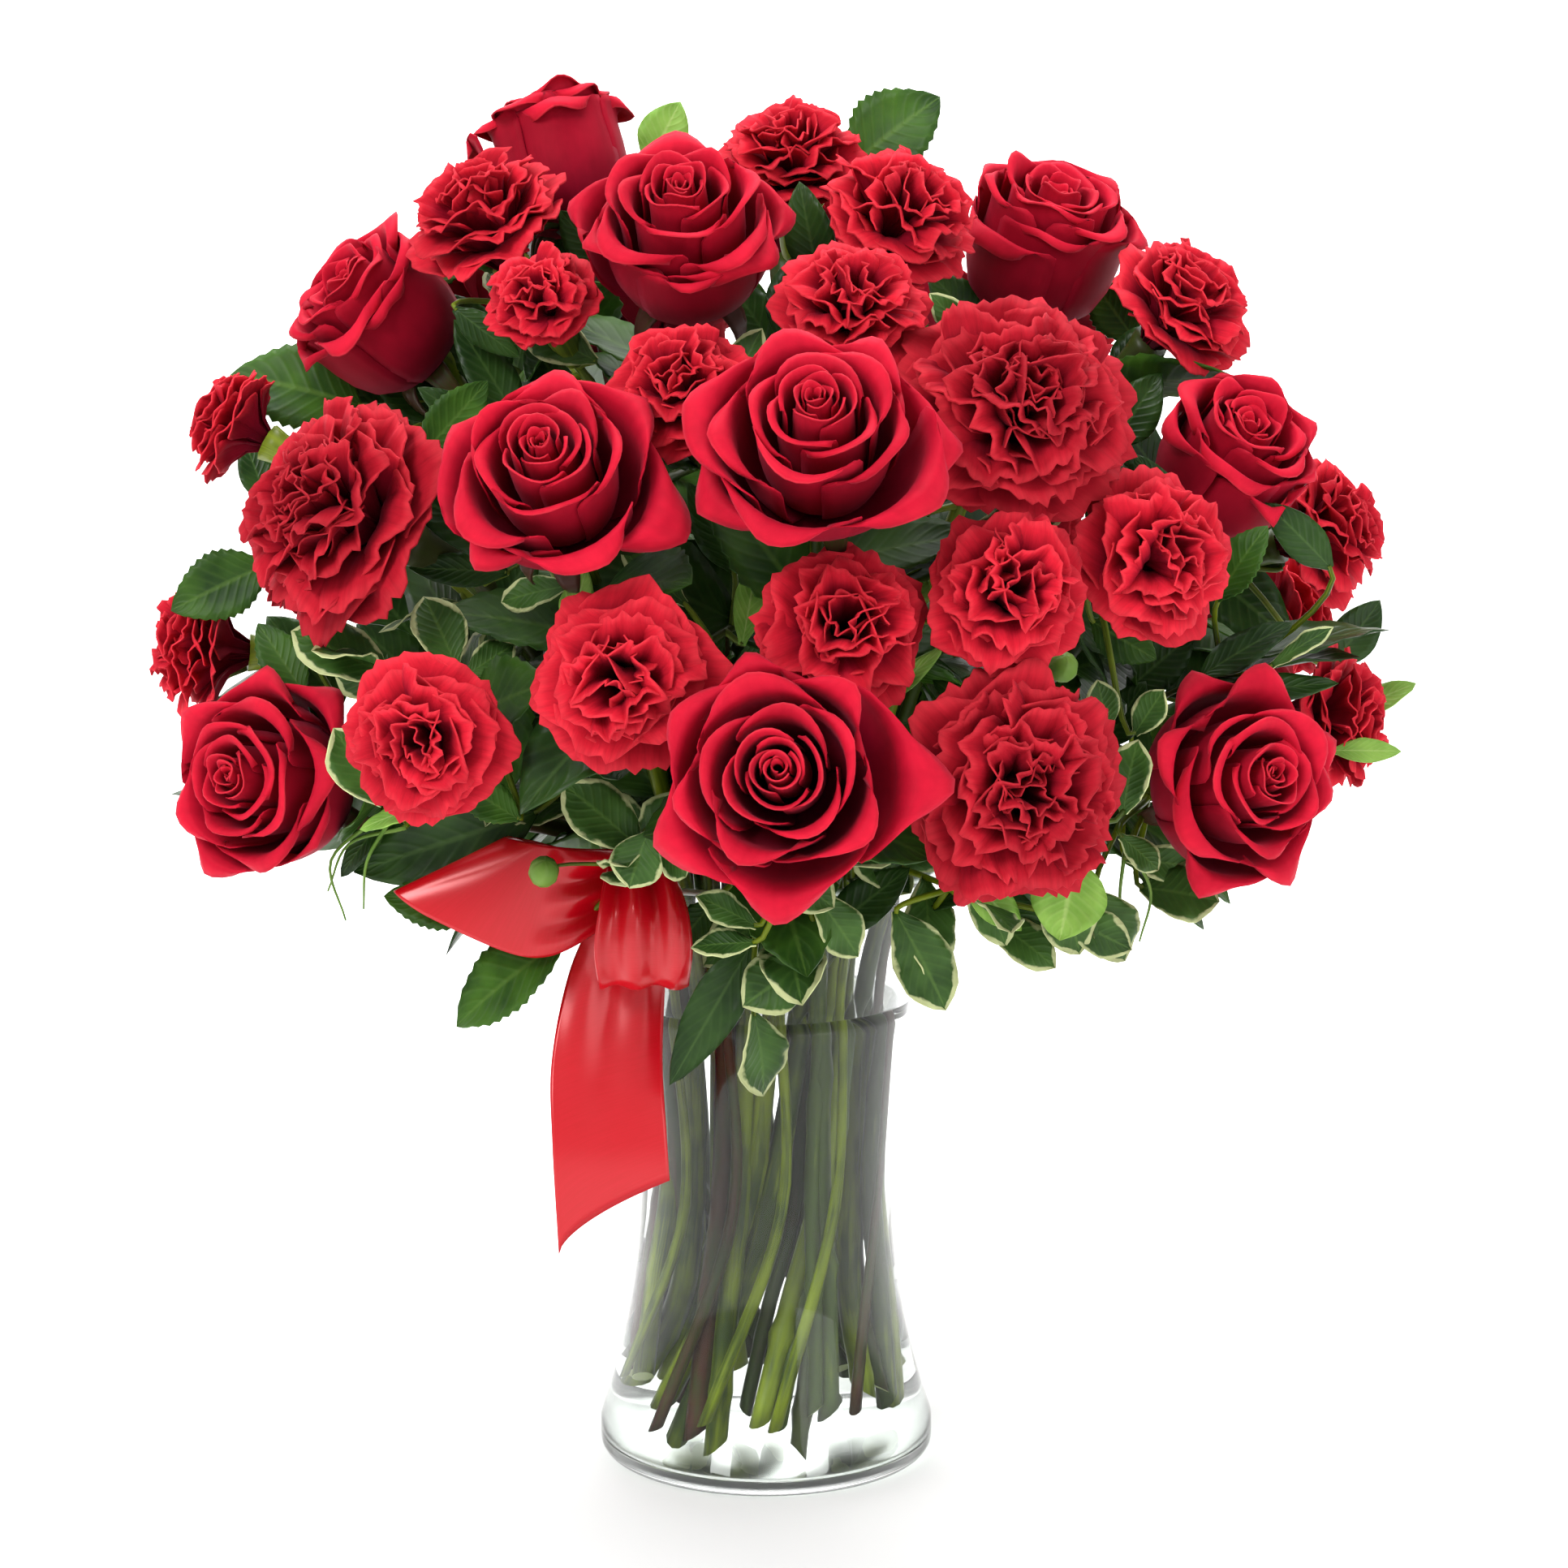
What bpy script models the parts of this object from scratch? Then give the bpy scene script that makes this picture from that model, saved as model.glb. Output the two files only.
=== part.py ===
"""Roses and carnations in a glass vase with a satin bow.

Metres, +Z up. The origin is the centre of the vase's foot, and -Y is the front of the bouquet.
The blooms sit on a dome, each facing its own way. Their stems run down through the neck of the
vase, lie together in bundles at its waist, and stand in holes in the water.
"""
import math
import random

import bmesh
import bpy
import numpy as np
from mathutils.bvhtree import BVHTree

# Driving dimensions of the vase
VASE_HEIGHT = 0.200
FOOT_RADIUS = 0.0555
FOOT_TOP = 0.012
WAIST_RADIUS = 0.0418
WAIST_HEIGHT = 0.090
LIP_RADIUS = 0.057
GLASS_WALL = 0.0035
RIM_RADIUS = LIP_RADIUS - 0.5 * GLASS_WALL
GLASS_FLOOR = 0.011
HEEL = 0.0035
FOOT_CURVE = 1.9
LIP_CURVE = 1.7
CORNER_LEVEL = 0.016
CORNER_RISE = 0.007
CORNER_IN = 0.006
WATER_LEVEL = 0.155
VASE_SIDES = 24
WALL_LEVELS = [0.028, 0.046, 0.066, WAIST_HEIGHT, 0.124, 0.150, 0.176]
GAP = 0.0003
HOLE_MARGIN = 0.0009
GLASS_CLEAR = 0.0012

# Driving dimensions of the bouquet
DOME_CENTRE = np.array([0.0, 0.0, 0.262])
BLOOM_FILL = 0.90
STEM_RADIUS = {"rose": 0.0030, "standard": 0.0026, "mini": 0.0022}
TWIG = 0.0014
SPRIG_STALK = 0.0018
BLADE = 0.0007

# Blooms: name, kind, place on the dome (azimuth and elevation in degrees, reach in mm), diameter in mm,
# facing (azimuth and elevation in degrees), and the bunch of stems or the spray that carries it.
# Azimuth -90 is the front, 0 the right, 180 the left and 90 the back.
BLOOMS = [
    ("rose_top_left", "rose", 170, 68, 180, 68, 130, 66, "rose_stems_left"),
    ("rose_top", "rose", -107, 60, 167, 73, -96, 46, "rose_stems_front"),
    ("rose_top_right", "rose", 4, 57, 168, 76, -62, 60, "rose_stems_right"),
    ("rose_upper_left", "rose", -176, 43, 173, 71, -150, 38, "rose_stems_left"),
    ("rose_mid_left", "rose", -113, 26, 173, 70, -101, 34, "rose_stems_left"),
    ("rose_mid", "rose", -84, 28, 177, 75, -92, 36, "rose_stems_front"),
    ("rose_right", "rose", -19, 26, 172, 68, -55, 44, "rose_stems_right"),
    ("rose_front", "rose", -88, -1, 182, 77, -96, 10, "rose_stems_front"),
    ("rose_low_left", "rose", -154, -8, 174, 71, -125, 8, "rose_stems_left"),
    ("rose_low_right", "rose", -33, -7, 174, 71, -58, 10, "rose_stems_front"),
    ("rose_back_high", "rose", 72, 42, 174, 72, 74, 44, "rose_stems_right"),
    ("rose_back_low", "rose", 92, 14, 174, 72, 92, 20, "rose_stems_right"),
    ("carnation_mid_right", "standard", -58, 34, 170, 73, -74, 30, "carnation_stems_front"),
    ("carnation_left", "standard", -143, 21, 172, 75, -140, 22, "carnation_stems_left"),
    ("carnation_low_right", "standard", -65, -4, 174, 71, -75, 4, "carnation_stems_front"),
    ("carnation_back_left", "standard", 112, 42, 166, 70, 112, 42, "carnation_stems_back"),
    ("carnation_back_right", "standard", 28, 12, 170, 70, 28, 16, "carnation_stems_back"),
    ("carnation_back_low", "standard", 156, 14, 168, 70, 156, 16, "carnation_stems_left"),
    ("mini_top", "mini", -60, 84, 168, 50, -90, 62, "spray_top"),
    ("mini_top_right", "mini", -50, 66, 163, 53, -54, 44, "spray_top"),
    ("mini_crown", "mini", 84, 64, 164, 50, 84, 62, "spray_top"),
    ("mini_top_left", "mini", -158, 58, 176, 54, -128, 56, "spray_top_left"),
    ("mini_under_top_left", "mini", -132, 51, 160, 36, -112, 40, "spray_top_left"),
    ("mini_mid_left", "mini", -102, 39, 158, 46, -104, 40, "spray_top_left"),
    ("mini_mid_top", "mini", -76, 49, 164, 48, -82, 40, "spray_front"),
    ("mini_front_left", "mini", -104, 7, 166, 55, -96, 10, "spray_front"),
    ("mini_front", "mini", -82, 13, 160, 53, -84, 22, "spray_front"),
    ("mini_front_right", "mini", -64, 15, 168, 50, -74, 20, "spray_right"),
    ("mini_right_front", "mini", -45, 17, 172, 53, -60, 14, "spray_right"),
    ("mini_upper_right", "mini", -8, 42, 180, 50, -40, 42, "spray_right"),
    ("mini_far_right", "mini", -4, 15, 188, 50, -28, 20, "spray_far_right"),
    ("mini_right_low", "mini", 14, 4, 182, 46, 10, 8, "spray_far_right"),
    ("mini_far_right_low", "mini", -12, -3, 186, 48, -24, 0, "spray_far_right"),
    ("mini_far_left", "mini", -172, 26, 190, 38, 172, 28, "spray_left"),
    ("mini_low_far_left", "mini", -176, 3, 184, 47, -168, 6, "spray_left"),
    ("mini_low_left", "mini", -124, 0, 176, 50, -102, 4, "spray_left"),
    ("mini_back_top_right", "mini", 34, 46, 170, 50, 34, 44, "spray_back_right"),
    ("mini_back_right", "mini", 56, 14, 170, 50, 56, 18, "spray_back_right"),
    ("mini_back_low_right", "mini", 62, -9, 166, 50, 62, 0, "spray_back_right"),
    ("mini_back_top_left", "mini", 148, 44, 172, 50, 148, 42, "spray_back_left"),
    ("mini_back_left", "mini", 124, 18, 170, 50, 124, 20, "spray_back_left"),
    ("mini_back_low_left", "mini", 122, -10, 166, 50, 122, 0, "spray_back_left"),
]

# Height of a head over its diameter, radius and length of its calyx, and how far up its centre lies
HEAD_HEIGHT = {"rose": 0.66, "standard": 0.62, "mini": 0.66}
CALYX_RADIUS = {"rose": 0.0075, "standard": 0.0080, "mini": 0.0058}
CALYX_LENGTH = {"rose": 0.011, "standard": 0.026, "mini": 0.020}
CENTRE_LEVEL = 0.58

# The three-flowered sprays, and the bundle at the waist that each one's stem joins
SPRAYS = {
    "spray_top": "carnation_stems_front",
    "spray_front": "carnation_stems_front",
    "spray_right": "carnation_stems_front",
    "spray_top_left": "carnation_stems_left",
    "spray_left": "carnation_stems_left",
    "spray_back_left": "carnation_stems_left",
    "spray_far_right": "carnation_stems_back",
    "spray_back_right": "carnation_stems_back",
}
FORK_REACH = 0.085
SILL_RING = 0.049
SILL_HEIGHT = 0.2095

# Bundles of stems: the azimuth of each at the waist of the vase
BUNDLES = {
    "carnation_stems_left": 140,
    "rose_stems_left": 200,
    "rose_stems_front": 260,
    "carnation_stems_front": 320,
    "rose_stems_right": 20,
    "carnation_stems_back": 80,
}
BUNDLE_RADIUS = 0.0228
BUNDLE_CLOSENESS = 0.78
STALK_RING = 0.0340
FLOOR_RING = 0.043
TWIST = 34
CUT_SLOPE = 0.9
CUT_LIFT = 0.0014
CUT_RANGE = 0.014
NECK_LEVEL = WATER_LEVEL + 0.004
NECK_SHARE = 0.38
MOUTH_SHARE = 0.86
MOUTH_POLAR = 85.0
STEM_ROOM = 0.0016
FLAT_ANGLE = 1.0
SPREAD = 1.45

# Balls that stand for the blooms: share of the diameter where they touch each other, share of the
# diameter that stems keep clear of, and how far back from the centre that second ball lies
BLOOM_TOUCH = 0.43
BLOOM_BALL = 0.52
BALL_BACK = 0.12

# How leaves stand on a stalk: the turn from one to the next, the turn to try again, the tilt from the
# stalk of a leaf and of the leaf at the tip, in degrees, and the room that each needs all round
LEAF_TURN = 137.5
RETRY_TURN = 47.0
LEAF_TILT = 52.0
TIP_TILT = 8.0
LEAF_ROOM = 0.0004
LEAF_DROP = 0.16
LEAF_CUP = 0.16

# Leaf sprays: kind, azimuth and elevation of the tip from the dome's centre, reach in mm, leaves
SPRIGS = {
    "pittosporum_bow": ("pittosporum", -111, -20, 119, 7),
    "pittosporum_front": ("pittosporum", -86, -38, 108, 9),
    "pittosporum_right": ("pittosporum", -56, -26, 128, 9),
    "pittosporum_left": ("pittosporum", -140, 6, 150, 9),
    "pittosporum_back": ("pittosporum", 96, -24, 130, 9),
    "salal_right": ("salal", -20, 4, 156, 7),
    "salal_left": ("salal", 178, -16, 146, 7),
    "salal_back_right": ("salal", 40, -18, 138, 7),
    "salal_back_left": ("salal", 140, -14, 140, 7),
}
LEAVES = {
    "pittosporum": dict(length=0.034, width=0.019, teeth=False, wave=0.0018, widest=0.62, steps=4),
    "salal": dict(length=0.058, width=0.030, teeth=False, wave=0.0014, widest=0.42, steps=4),
    "rose": dict(length=0.050, width=0.031, teeth=True, wave=0.0006, widest=0.45, steps=5),
}
ROSE_LEAVES = {
    "rose_top": 2, "rose_top_right": 2, "rose_upper_left": 3, "rose_low_left": 2, "rose_low_right": 2,
    "rose_right": 2, "rose_back_high": 2, "rose_back_low": 2, "rose_top_left": 2, "rose_front": 1,
    "rose_mid": 2, "rose_mid_left": 2,
}

# The satin bow
RIBBON_WIDTH = 0.036
RIBBON_SHEET = 0.0008
BOW = np.array([-0.038, -0.068, 0.2085])
BOW_STALK = "pittosporum_bow"
BOW_IN = BOW + np.array([0.0050, 0.0100, 0.0015])
BOW_OUT = BOW + np.array([-0.0035, -0.0100, 0.0035])
BOW_ROOM = 0.020
KNOT = np.array([0.0100, 0.0068, 0.0078])
# Runs of the ribbon from the knot: place of the middle in mm, direction across, share of the full width
LEFT_LOOP = [
    ((0, 0, 0), (0.1, 0, 1), 0.42), ((-15, -9, -3), (0.1, 0, 1), 0.67),
    ((-32, -12, -1), (0.5, 0, 0.87), 0.94), ((-50, -9, 5), (0.88, 0, 0.47), 1.05),
    ((-57, -3, 10), (0.92, 0.1, 0.39), 1.05),
    ((-54, 4, 11), (0.92, 0.2, 0.39), 1.05), ((-36, 5, 7), (0.6, 0.2, 0.77), 0.90),
    ((-16, 3, 2), (0.2, 0, 1), 0.60), ((0, 1, 0), (0.1, 0, 1), 0.42),
]
FRONT_LOOP = [
    ((0, 0, 1), (1, 0, 0), 0.47), ((0, -13, 2), (1, 0, 0), 0.56), ((1, -22, -8), (1, 0, 0), 0.70),
    ((1, -24, -20), (1, 0, 0), 0.80), ((1, -20, -32), (1, 0, 0), 0.76), ((1, -13, -34), (1, 0, 0), 0.72),
    ((0, -7, -26), (1, 0, 0), 0.66), ((0, -2, -8), (1, 0, 0), 0.50), ((0, 0, -2), (1, 0, 0), 0.44),
]
TAIL = [
    ((0, 1, 0), (1, 0, 0), 0.42), ((-3, 0, -14), (1, 0.1, 0), 0.56), ((-8, -2, -32), (1, 0.2, 0), 0.80),
    ((-11, -3, -56), (0.98, 0.2, -0.03), 0.95), ((-11, -2, -80), (0.98, 0.18, -0.06), 1.0),
    ((-11, 0, -100), (0.92, 0.17, 0.46), 1.12),
]
UP = np.array([0.0, 0.0, 1.0])

MATERIALS = {
    "vase_glass": ((0.80, 0.90, 0.86), 0.04, 0.0),
    "vase_water": ((0.75, 0.86, 0.80), 0.05, 0.0),
    "rose_petals": ((0.46, 0.010, 0.018), 0.62, 0.0),
    "carnation_petals": ((0.62, 0.014, 0.022), 0.66, 0.0),
    "rose_greens": ((0.10, 0.19, 0.05), 0.50, 0.0),
    "carnation_greens": ((0.14, 0.25, 0.11), 0.55, 0.0),
    "pittosporum_leaves": ((0.14, 0.25, 0.08), 0.42, 0.0),
    "salal_leaves": ((0.05, 0.12, 0.03), 0.38, 0.0),
    "satin_ribbon": ((0.60, 0.012, 0.030), 0.30, 0.0),
}


def clear_scene():
    for thing in list(bpy.data.objects):
        bpy.data.objects.remove(thing, do_unlink=True)


def material(name):
    found = bpy.data.materials.get(name)
    if found:
        return found
    colour, roughness, metallic = MATERIALS[name]
    made = bpy.data.materials.new(name)
    made.use_nodes = True
    shader = made.node_tree.nodes["Principled BSDF"]
    shader.inputs["Base Color"].default_value = (*colour, 1.0)
    shader.inputs["Roughness"].default_value = roughness
    shader.inputs["Metallic"].default_value = metallic
    return made


def add_object(name, solid, surface):
    """One object from a solid, which is a list of points and a list of faces."""
    points, faces = solid
    mesh = bpy.data.meshes.new(name)
    mesh.from_pydata([tuple(map(float, point)) for point in points], [], faces)
    mesh.update()
    thing = bpy.data.objects.new(name, mesh)
    bpy.context.scene.collection.objects.link(thing)
    mesh.materials.append(material(surface))
    return thing


def fuse(base, others, operation="UNION"):
    """Joins the other objects to the base, or cuts them out of it, and removes them."""
    if not others:
        return base
    collection = bpy.data.collections.new(base.name + "_pieces")
    bpy.context.scene.collection.children.link(collection)
    for thing in others:
        collection.objects.link(thing)
    step = base.modifiers.new("fuse", "BOOLEAN")
    step.operand_type = "COLLECTION"
    step.collection = collection
    step.operation = operation
    graph = bpy.context.evaluated_depsgraph_get()
    graph.update()
    joined = bpy.data.meshes.new_from_object(base.evaluated_get(graph))
    base.modifiers.remove(step)
    base.data = joined
    tidy_flats(joined)
    for thing in others:
        bpy.data.objects.remove(thing, do_unlink=True)
    bpy.data.collections.remove(collection)
    return base


def tidy_flats(mesh):
    """Takes out the edges that a union leaves across flat faces."""
    work = bmesh.new()
    work.from_mesh(mesh)
    bmesh.ops.dissolve_limit(work, angle_limit=math.radians(FLAT_ANGLE), verts=work.verts, edges=work.edges)
    bmesh.ops.triangulate(work, faces=work.faces)
    work.to_mesh(mesh)
    work.free()


def direction(azimuth, elevation):
    """Unit vector at an azimuth and an elevation in degrees."""
    a, e = math.radians(azimuth), math.radians(elevation)
    return np.array([math.cos(e) * math.cos(a), math.cos(e) * math.sin(a), math.sin(e)])


def unit(vector):
    return vector / max(np.linalg.norm(vector), 1e-12)


def frame_about(axis, hint=UP):
    """Two unit vectors square to the axis, the second as near the hint as it can be."""
    axis = unit(axis)
    side = np.cross(hint, axis)
    if np.linalg.norm(side) < 1e-3:
        side = np.cross(np.array([0.0, 1.0, 0.0]), axis)
    side = unit(side)
    return side, np.cross(axis, side)


def zip_rows(low, high, low_at, high_at, closed=True):
    """Triangles between two rows of point numbers, walked together by where each point lies, 0 to 1."""
    n, m = len(low), len(high)
    faces, i, j = [], 0, 0
    last_low, last_high = (n, m) if closed else (n - 1, m - 1)
    at_low = list(low_at) + [low_at[0] + 1.0]
    at_high = list(high_at) + [high_at[0] + 1.0]
    while i < last_low or j < last_high:
        step_low = j >= last_high or (i < last_low and at_low[i + 1] <= at_high[j + 1])
        if step_low:
            faces.append((low[i % n], low[(i + 1) % n], high[j % m]))
            i += 1
        else:
            faces.append((low[i % n], high[(j + 1) % m], high[j % m]))
            j += 1
    return faces


def crown(rings, tip_height):
    """A closed solid of nested rings of (turn, radius, height): petals in layers round a centre."""
    points, faces, rows = [], [], []
    for ring in rings:
        rows.append(list(range(len(points), len(points) + len(ring))))
        points += [(r * math.cos(math.tau * t), r * math.sin(math.tau * t), h) for t, r, h in ring]
    faces += [(rows[0][0], rows[0][k + 1], rows[0][k]) for k in range(1, len(rows[0]) - 1)]
    for k in range(len(rings) - 1):
        low_at = [p[0] for p in rings[k]]
        high_at = [p[0] for p in rings[k + 1]]
        faces += zip_rows(rows[k], rows[k + 1], low_at, high_at)
    top = len(points)
    points.append((0.0, 0.0, tip_height))
    last = rows[-1]
    faces += [(last[k], last[(k + 1) % len(last)], top) for k in range(len(last))]
    return points, faces


def even_ring(count, radius, height, turn=0.0):
    return [((k + turn) / count, radius, height) for k in range(count)]


def petal_ring(count, marks, radius, height, turn, draw, loose=0.04):
    """A ring of petal rims. marks gives, across one petal, (place, radius share, rise share)."""
    ring = []
    for k in range(count):
        bigger = 1.0 + draw.uniform(-loose, loose)
        lift = draw.uniform(-loose, loose)
        for place, out, rise in marks:
            ring.append(((k + place) / count + turn, radius * out * bigger, height * (1.0 + rise + lift)))
    return ring


# Rims across one petal: the edge that lies under its neighbour, the shoulder, the tip, the edge on top
ROSE_OUTER = [(0.03, 0.76, 0.18), (0.30, 0.93, 0.04), (0.56, 1.04, -0.16), (0.93, 0.90, 0.06)]
ROSE_INNER = [(0.03, 0.86, 0.00), (0.48, 1.00, 0.02), (0.90, 0.98, -0.02)]
RUFFLE = [(0.0, 1.0, 0.05), (0.25, 0.83, -0.04), (0.5, 0.99, 0.09), (0.75, 0.79, -0.06)]
FRILL = [(0.0, 1.0, 0.06), (0.5, 0.72, -0.06)]


def rose_head(radius, height, draw):
    """A rose: five reflexed outer petals, then tighter whorls that each wrap the next, round a bud."""
    seat = CALYX_RADIUS["rose"]
    rings = [
        even_ring(8, seat, 0.0),
        even_ring(10, 0.62 * radius, 0.24 * height),
        petal_ring(5, ROSE_OUTER, radius, 0.46 * height, 0.0, draw),
        even_ring(10, 0.60 * radius, 0.50 * height, 0.3),
        petal_ring(5, ROSE_INNER, 0.76 * radius, 0.72 * height, 0.1, draw),
        even_ring(10, 0.50 * radius, 0.60 * height, 0.3),
        petal_ring(4, ROSE_INNER, 0.57 * radius, 0.88 * height, 0.04, draw),
        even_ring(8, 0.30 * radius, 0.70 * height, 0.3),
        petal_ring(3, ROSE_INNER, 0.36 * radius, 0.97 * height, 0.11, draw, 0.02),
        even_ring(6, 0.17 * radius, 0.80 * height, 0.2),
        petal_ring(2, ROSE_INNER, 0.15 * radius, 0.98 * height, 0.02, draw, 0.02),
    ]
    return crown(rings, 0.88 * height)


def carnation_head(radius, height, seat, sizes, draw):
    """A carnation: three ruffled tiers of toothed petals round a tuft, over a cup of petal claws."""
    outer, middle, inner = sizes
    rings = [
        even_ring(6, seat, 0.0),
        even_ring(8, 0.50 * radius, 0.30 * height),
        petal_ring(outer, RUFFLE, radius, 0.50 * height, 0.0, draw, 0.06),
        even_ring(2 * outer, 0.66 * radius, 0.56 * height, 0.2),
        petal_ring(middle, FRILL, 0.82 * radius, 0.76 * height, 0.03, draw, 0.06),
        even_ring(middle, 0.46 * radius, 0.66 * height, 0.2),
        petal_ring(inner, FRILL, 0.50 * radius, 0.94 * height, 0.05, draw, 0.05),
    ]
    if inner > 4:
        rings += [even_ring(inner, 0.26 * radius, 0.78 * height, 0.2),
                  petal_ring(3, FRILL, 0.24 * radius, 0.99 * height, 0.02, draw, 0.03)]
    return crown(rings, 0.82 * height)


def place_head(solid, base, facing, turn):
    """Moves a head so that its seat is at the base point and its axis is the way it faces."""
    points, faces = solid
    side, up = frame_about(facing)
    c, s = math.cos(turn), math.sin(turn)
    axes = np.stack([c * side + s * up, -s * side + c * up, unit(facing)])
    return np.asarray(points) @ axes + base, faces


def settle(homes, radii, rounds=120):
    """Eases the bloom centres apart until each pair is clear, more in depth than across the front."""
    places = homes.copy()
    ease = np.array([0.8, 1.7, 0.8])
    for _ in range(rounds):
        shift = np.zeros_like(places)
        for i in range(len(places)):
            away = places[i] - places
            away[i] = (1.0, 0.0, 0.0)
            distance = np.linalg.norm(away, axis=1)
            short = np.clip(radii[i] + radii - distance, 0.0, None)
            short[i] = 0.0
            shift[i] = ((away / distance[:, None]) * short[:, None]).sum(axis=0) * 0.35
        places = places + shift * ease + (homes - places) * 0.01
    return places


def tube(path, radius, sides=5, end_slope=0.0, calyx=None):
    """A closed tube along a path of points, with flat ends, the first one cut on a slope.

    calyx is the radius that the tube swells to at its last point.
    """
    radii = [radius] * (len(path) - 1) + [calyx or radius]
    path = np.asarray(path, dtype=float)
    steps = np.diff(path, axis=0)
    steps /= np.linalg.norm(steps, axis=1)[:, None]
    tangents = np.vstack([steps[:1], steps[:-1] + steps[1:], steps[-1:]])
    tangents /= np.linalg.norm(tangents, axis=1)[:, None]
    side, _ = frame_about(tangents[0])
    points = []
    for k, (place, tangent) in enumerate(zip(path, tangents)):
        side = unit(side - tangent * side.dot(tangent))
        up = np.cross(tangent, side)
        for s in range(sides):
            angle = math.tau * s / sides
            offset = radii[k] * (math.cos(angle) * side + math.sin(angle) * up)
            lean = end_slope * radius * math.cos(angle) if k == 0 else 0.0
            points.append(place + offset + tangent * lean)
    rings = len(path)
    faces = []
    for k in range(rings - 1):
        for s in range(sides):
            a, b = k * sides + s, k * sides + (s + 1) % sides
            faces += [(a, b, b + sides), (a, b + sides, a + sides)]
    last = (rings - 1) * sides
    faces += [(0, s + 1, s) for s in range(1, sides - 1)]
    faces += [(last, last + s, last + s + 1) for s in range(1, sides - 1)]
    return points, faces


def blade(kind, base, along, normal, scale, phase, grow=0.0):
    """A leaf: a thin closed blade folded along its rib, arched to the tip, with a cut or waved edge.

    Both faces are split into the same triangles, so they can't cross. grow makes it fatter all round,
    to test the room that it has.
    """
    spec = LEAVES[kind]
    length, width = spec["length"] * scale, spec["width"] * scale
    along = unit(along)
    normal = unit(normal - along * normal.dot(along))
    side = np.cross(along, normal)
    steps = spec["steps"]
    stations = [k / steps for k in range(steps + 1)]

    def half_width(s):
        peak = spec["widest"]
        ease = s / peak if s < peak else (1.0 - s) / (1.0 - peak)
        return 0.5 * width * math.sin(0.5 * math.pi * max(0.0, ease)) ** 0.8

    def place(s, reach, lift):
        drop = -LEAF_DROP * length * s * s
        return base + along * (s * length) + side * reach + normal * (drop + lift)

    edges = {-1: [], 1: []}
    for hand in (-1, 1):
        for k, s in enumerate(stations[:-1]):
            out = max(half_width(s), 0.0011) + grow
            if spec["teeth"] and k > 0:
                out *= 1.08 if k % 2 else 0.90
            wave = spec["wave"] * math.sin(2.6 * math.pi * s + phase + hand)
            edges[hand].append(place(s, hand * out, LEAF_CUP * out + wave * min(1.0, 3.0 * s)))
    tip = place(1.0, 0.0, 0.0)
    rib = [place(0.5, 0.0, -0.0006)]
    left, right = edges[-1] + [tip], edges[1]
    flat = left + right + rib
    n, m = len(left), len(right)
    left_row, right_row = list(range(n)), list(range(n, n + m)) + [n - 1]
    rib_point = n + m
    half_left = [(a, b, rib_point) for a, b in zip(left_row, left_row[1:])]
    half_right = [(b, a, rib_point) for a, b in zip(right_row, right_row[1:])]
    top = half_left + half_right + [(right_row[0], left_row[0], rib_point)]
    thick = 0.5 * BLADE + grow
    count = len(flat)
    points = [p + normal * thick for p in flat] + [p - normal * thick for p in flat]
    faces = [tuple(reversed(face)) for face in top] + [tuple(i + count for i in face) for face in top]
    border = left_row + right_row[-2::-1]
    for k, a in enumerate(border):
        b = border[(k + 1) % len(border)]
        faces += [(a, b, b + count), (a, b + count, a + count)]
    return points, faces


def hermite(start, start_pull, end, end_pull, count):
    """Points on a cubic from one place and pull to another."""
    t = np.linspace(0.0, 1.0, count)[:, None]
    return ((2 * t**3 - 3 * t**2 + 1) * start + (t**3 - 2 * t**2 + t) * start_pull
            + (-2 * t**3 + 3 * t**2) * end + (t**3 - t**2) * end_pull)


def vase_radius(z):
    """Outer radius of the glass: a flared foot, a slim waist and an open lip."""
    if z < WAIST_HEIGHT:
        share = (WAIST_HEIGHT - max(z, FOOT_TOP)) / (WAIST_HEIGHT - FOOT_TOP)
        return WAIST_RADIUS + (FOOT_RADIUS - WAIST_RADIUS) * share**FOOT_CURVE
    share = (z - WAIST_HEIGHT) / (VASE_HEIGHT - WAIST_HEIGHT)
    return WAIST_RADIUS + (LIP_RADIUS - WAIST_RADIUS) * share**LIP_CURVE


def inner_radius(z):
    """Inner radius of the glass, rounded in above the thick base."""
    corner = max(0.0, 1.0 - (z - GLASS_FLOOR) / CORNER_RISE)
    return vase_radius(z) - GLASS_WALL - CORNER_IN * corner**2


def lathe(profile, sides):
    """A closed solid turned about Z from (radius, height) pairs that run up the outside and back down."""
    points, faces = [], []
    for radius, height in profile:
        for s in range(sides):
            angle = math.tau * (s + 0.5) / sides
            points.append((radius * math.cos(angle), radius * math.sin(angle), height))
    for k in range(len(profile) - 1):
        for s in range(sides):
            a, b = k * sides + s, k * sides + (s + 1) % sides
            faces += [(a, b, b + sides), (a, b + sides, a + sides)]
    faces.append(tuple(reversed(range(sides))))
    last = (len(profile) - 1) * sides
    faces.append(tuple(range(last, last + sides)))
    return points, faces


def build_vase():
    outer_levels = [FOOT_TOP, *WALL_LEVELS, VASE_HEIGHT - 0.001]
    inner_levels = [VASE_HEIGHT - 0.001, *reversed(WALL_LEVELS), CORNER_LEVEL, GLASS_FLOOR]
    profile = [(FOOT_RADIUS - HEEL, 0.0), (FOOT_RADIUS - 0.0006, HEEL)]
    profile += [(vase_radius(z), z) for z in outer_levels]
    profile += [(RIM_RADIUS, VASE_HEIGHT)]
    profile += [(inner_radius(z), z) for z in inner_levels]
    return add_object("vase", lathe(profile, VASE_SIDES), "vase_glass")


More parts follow.
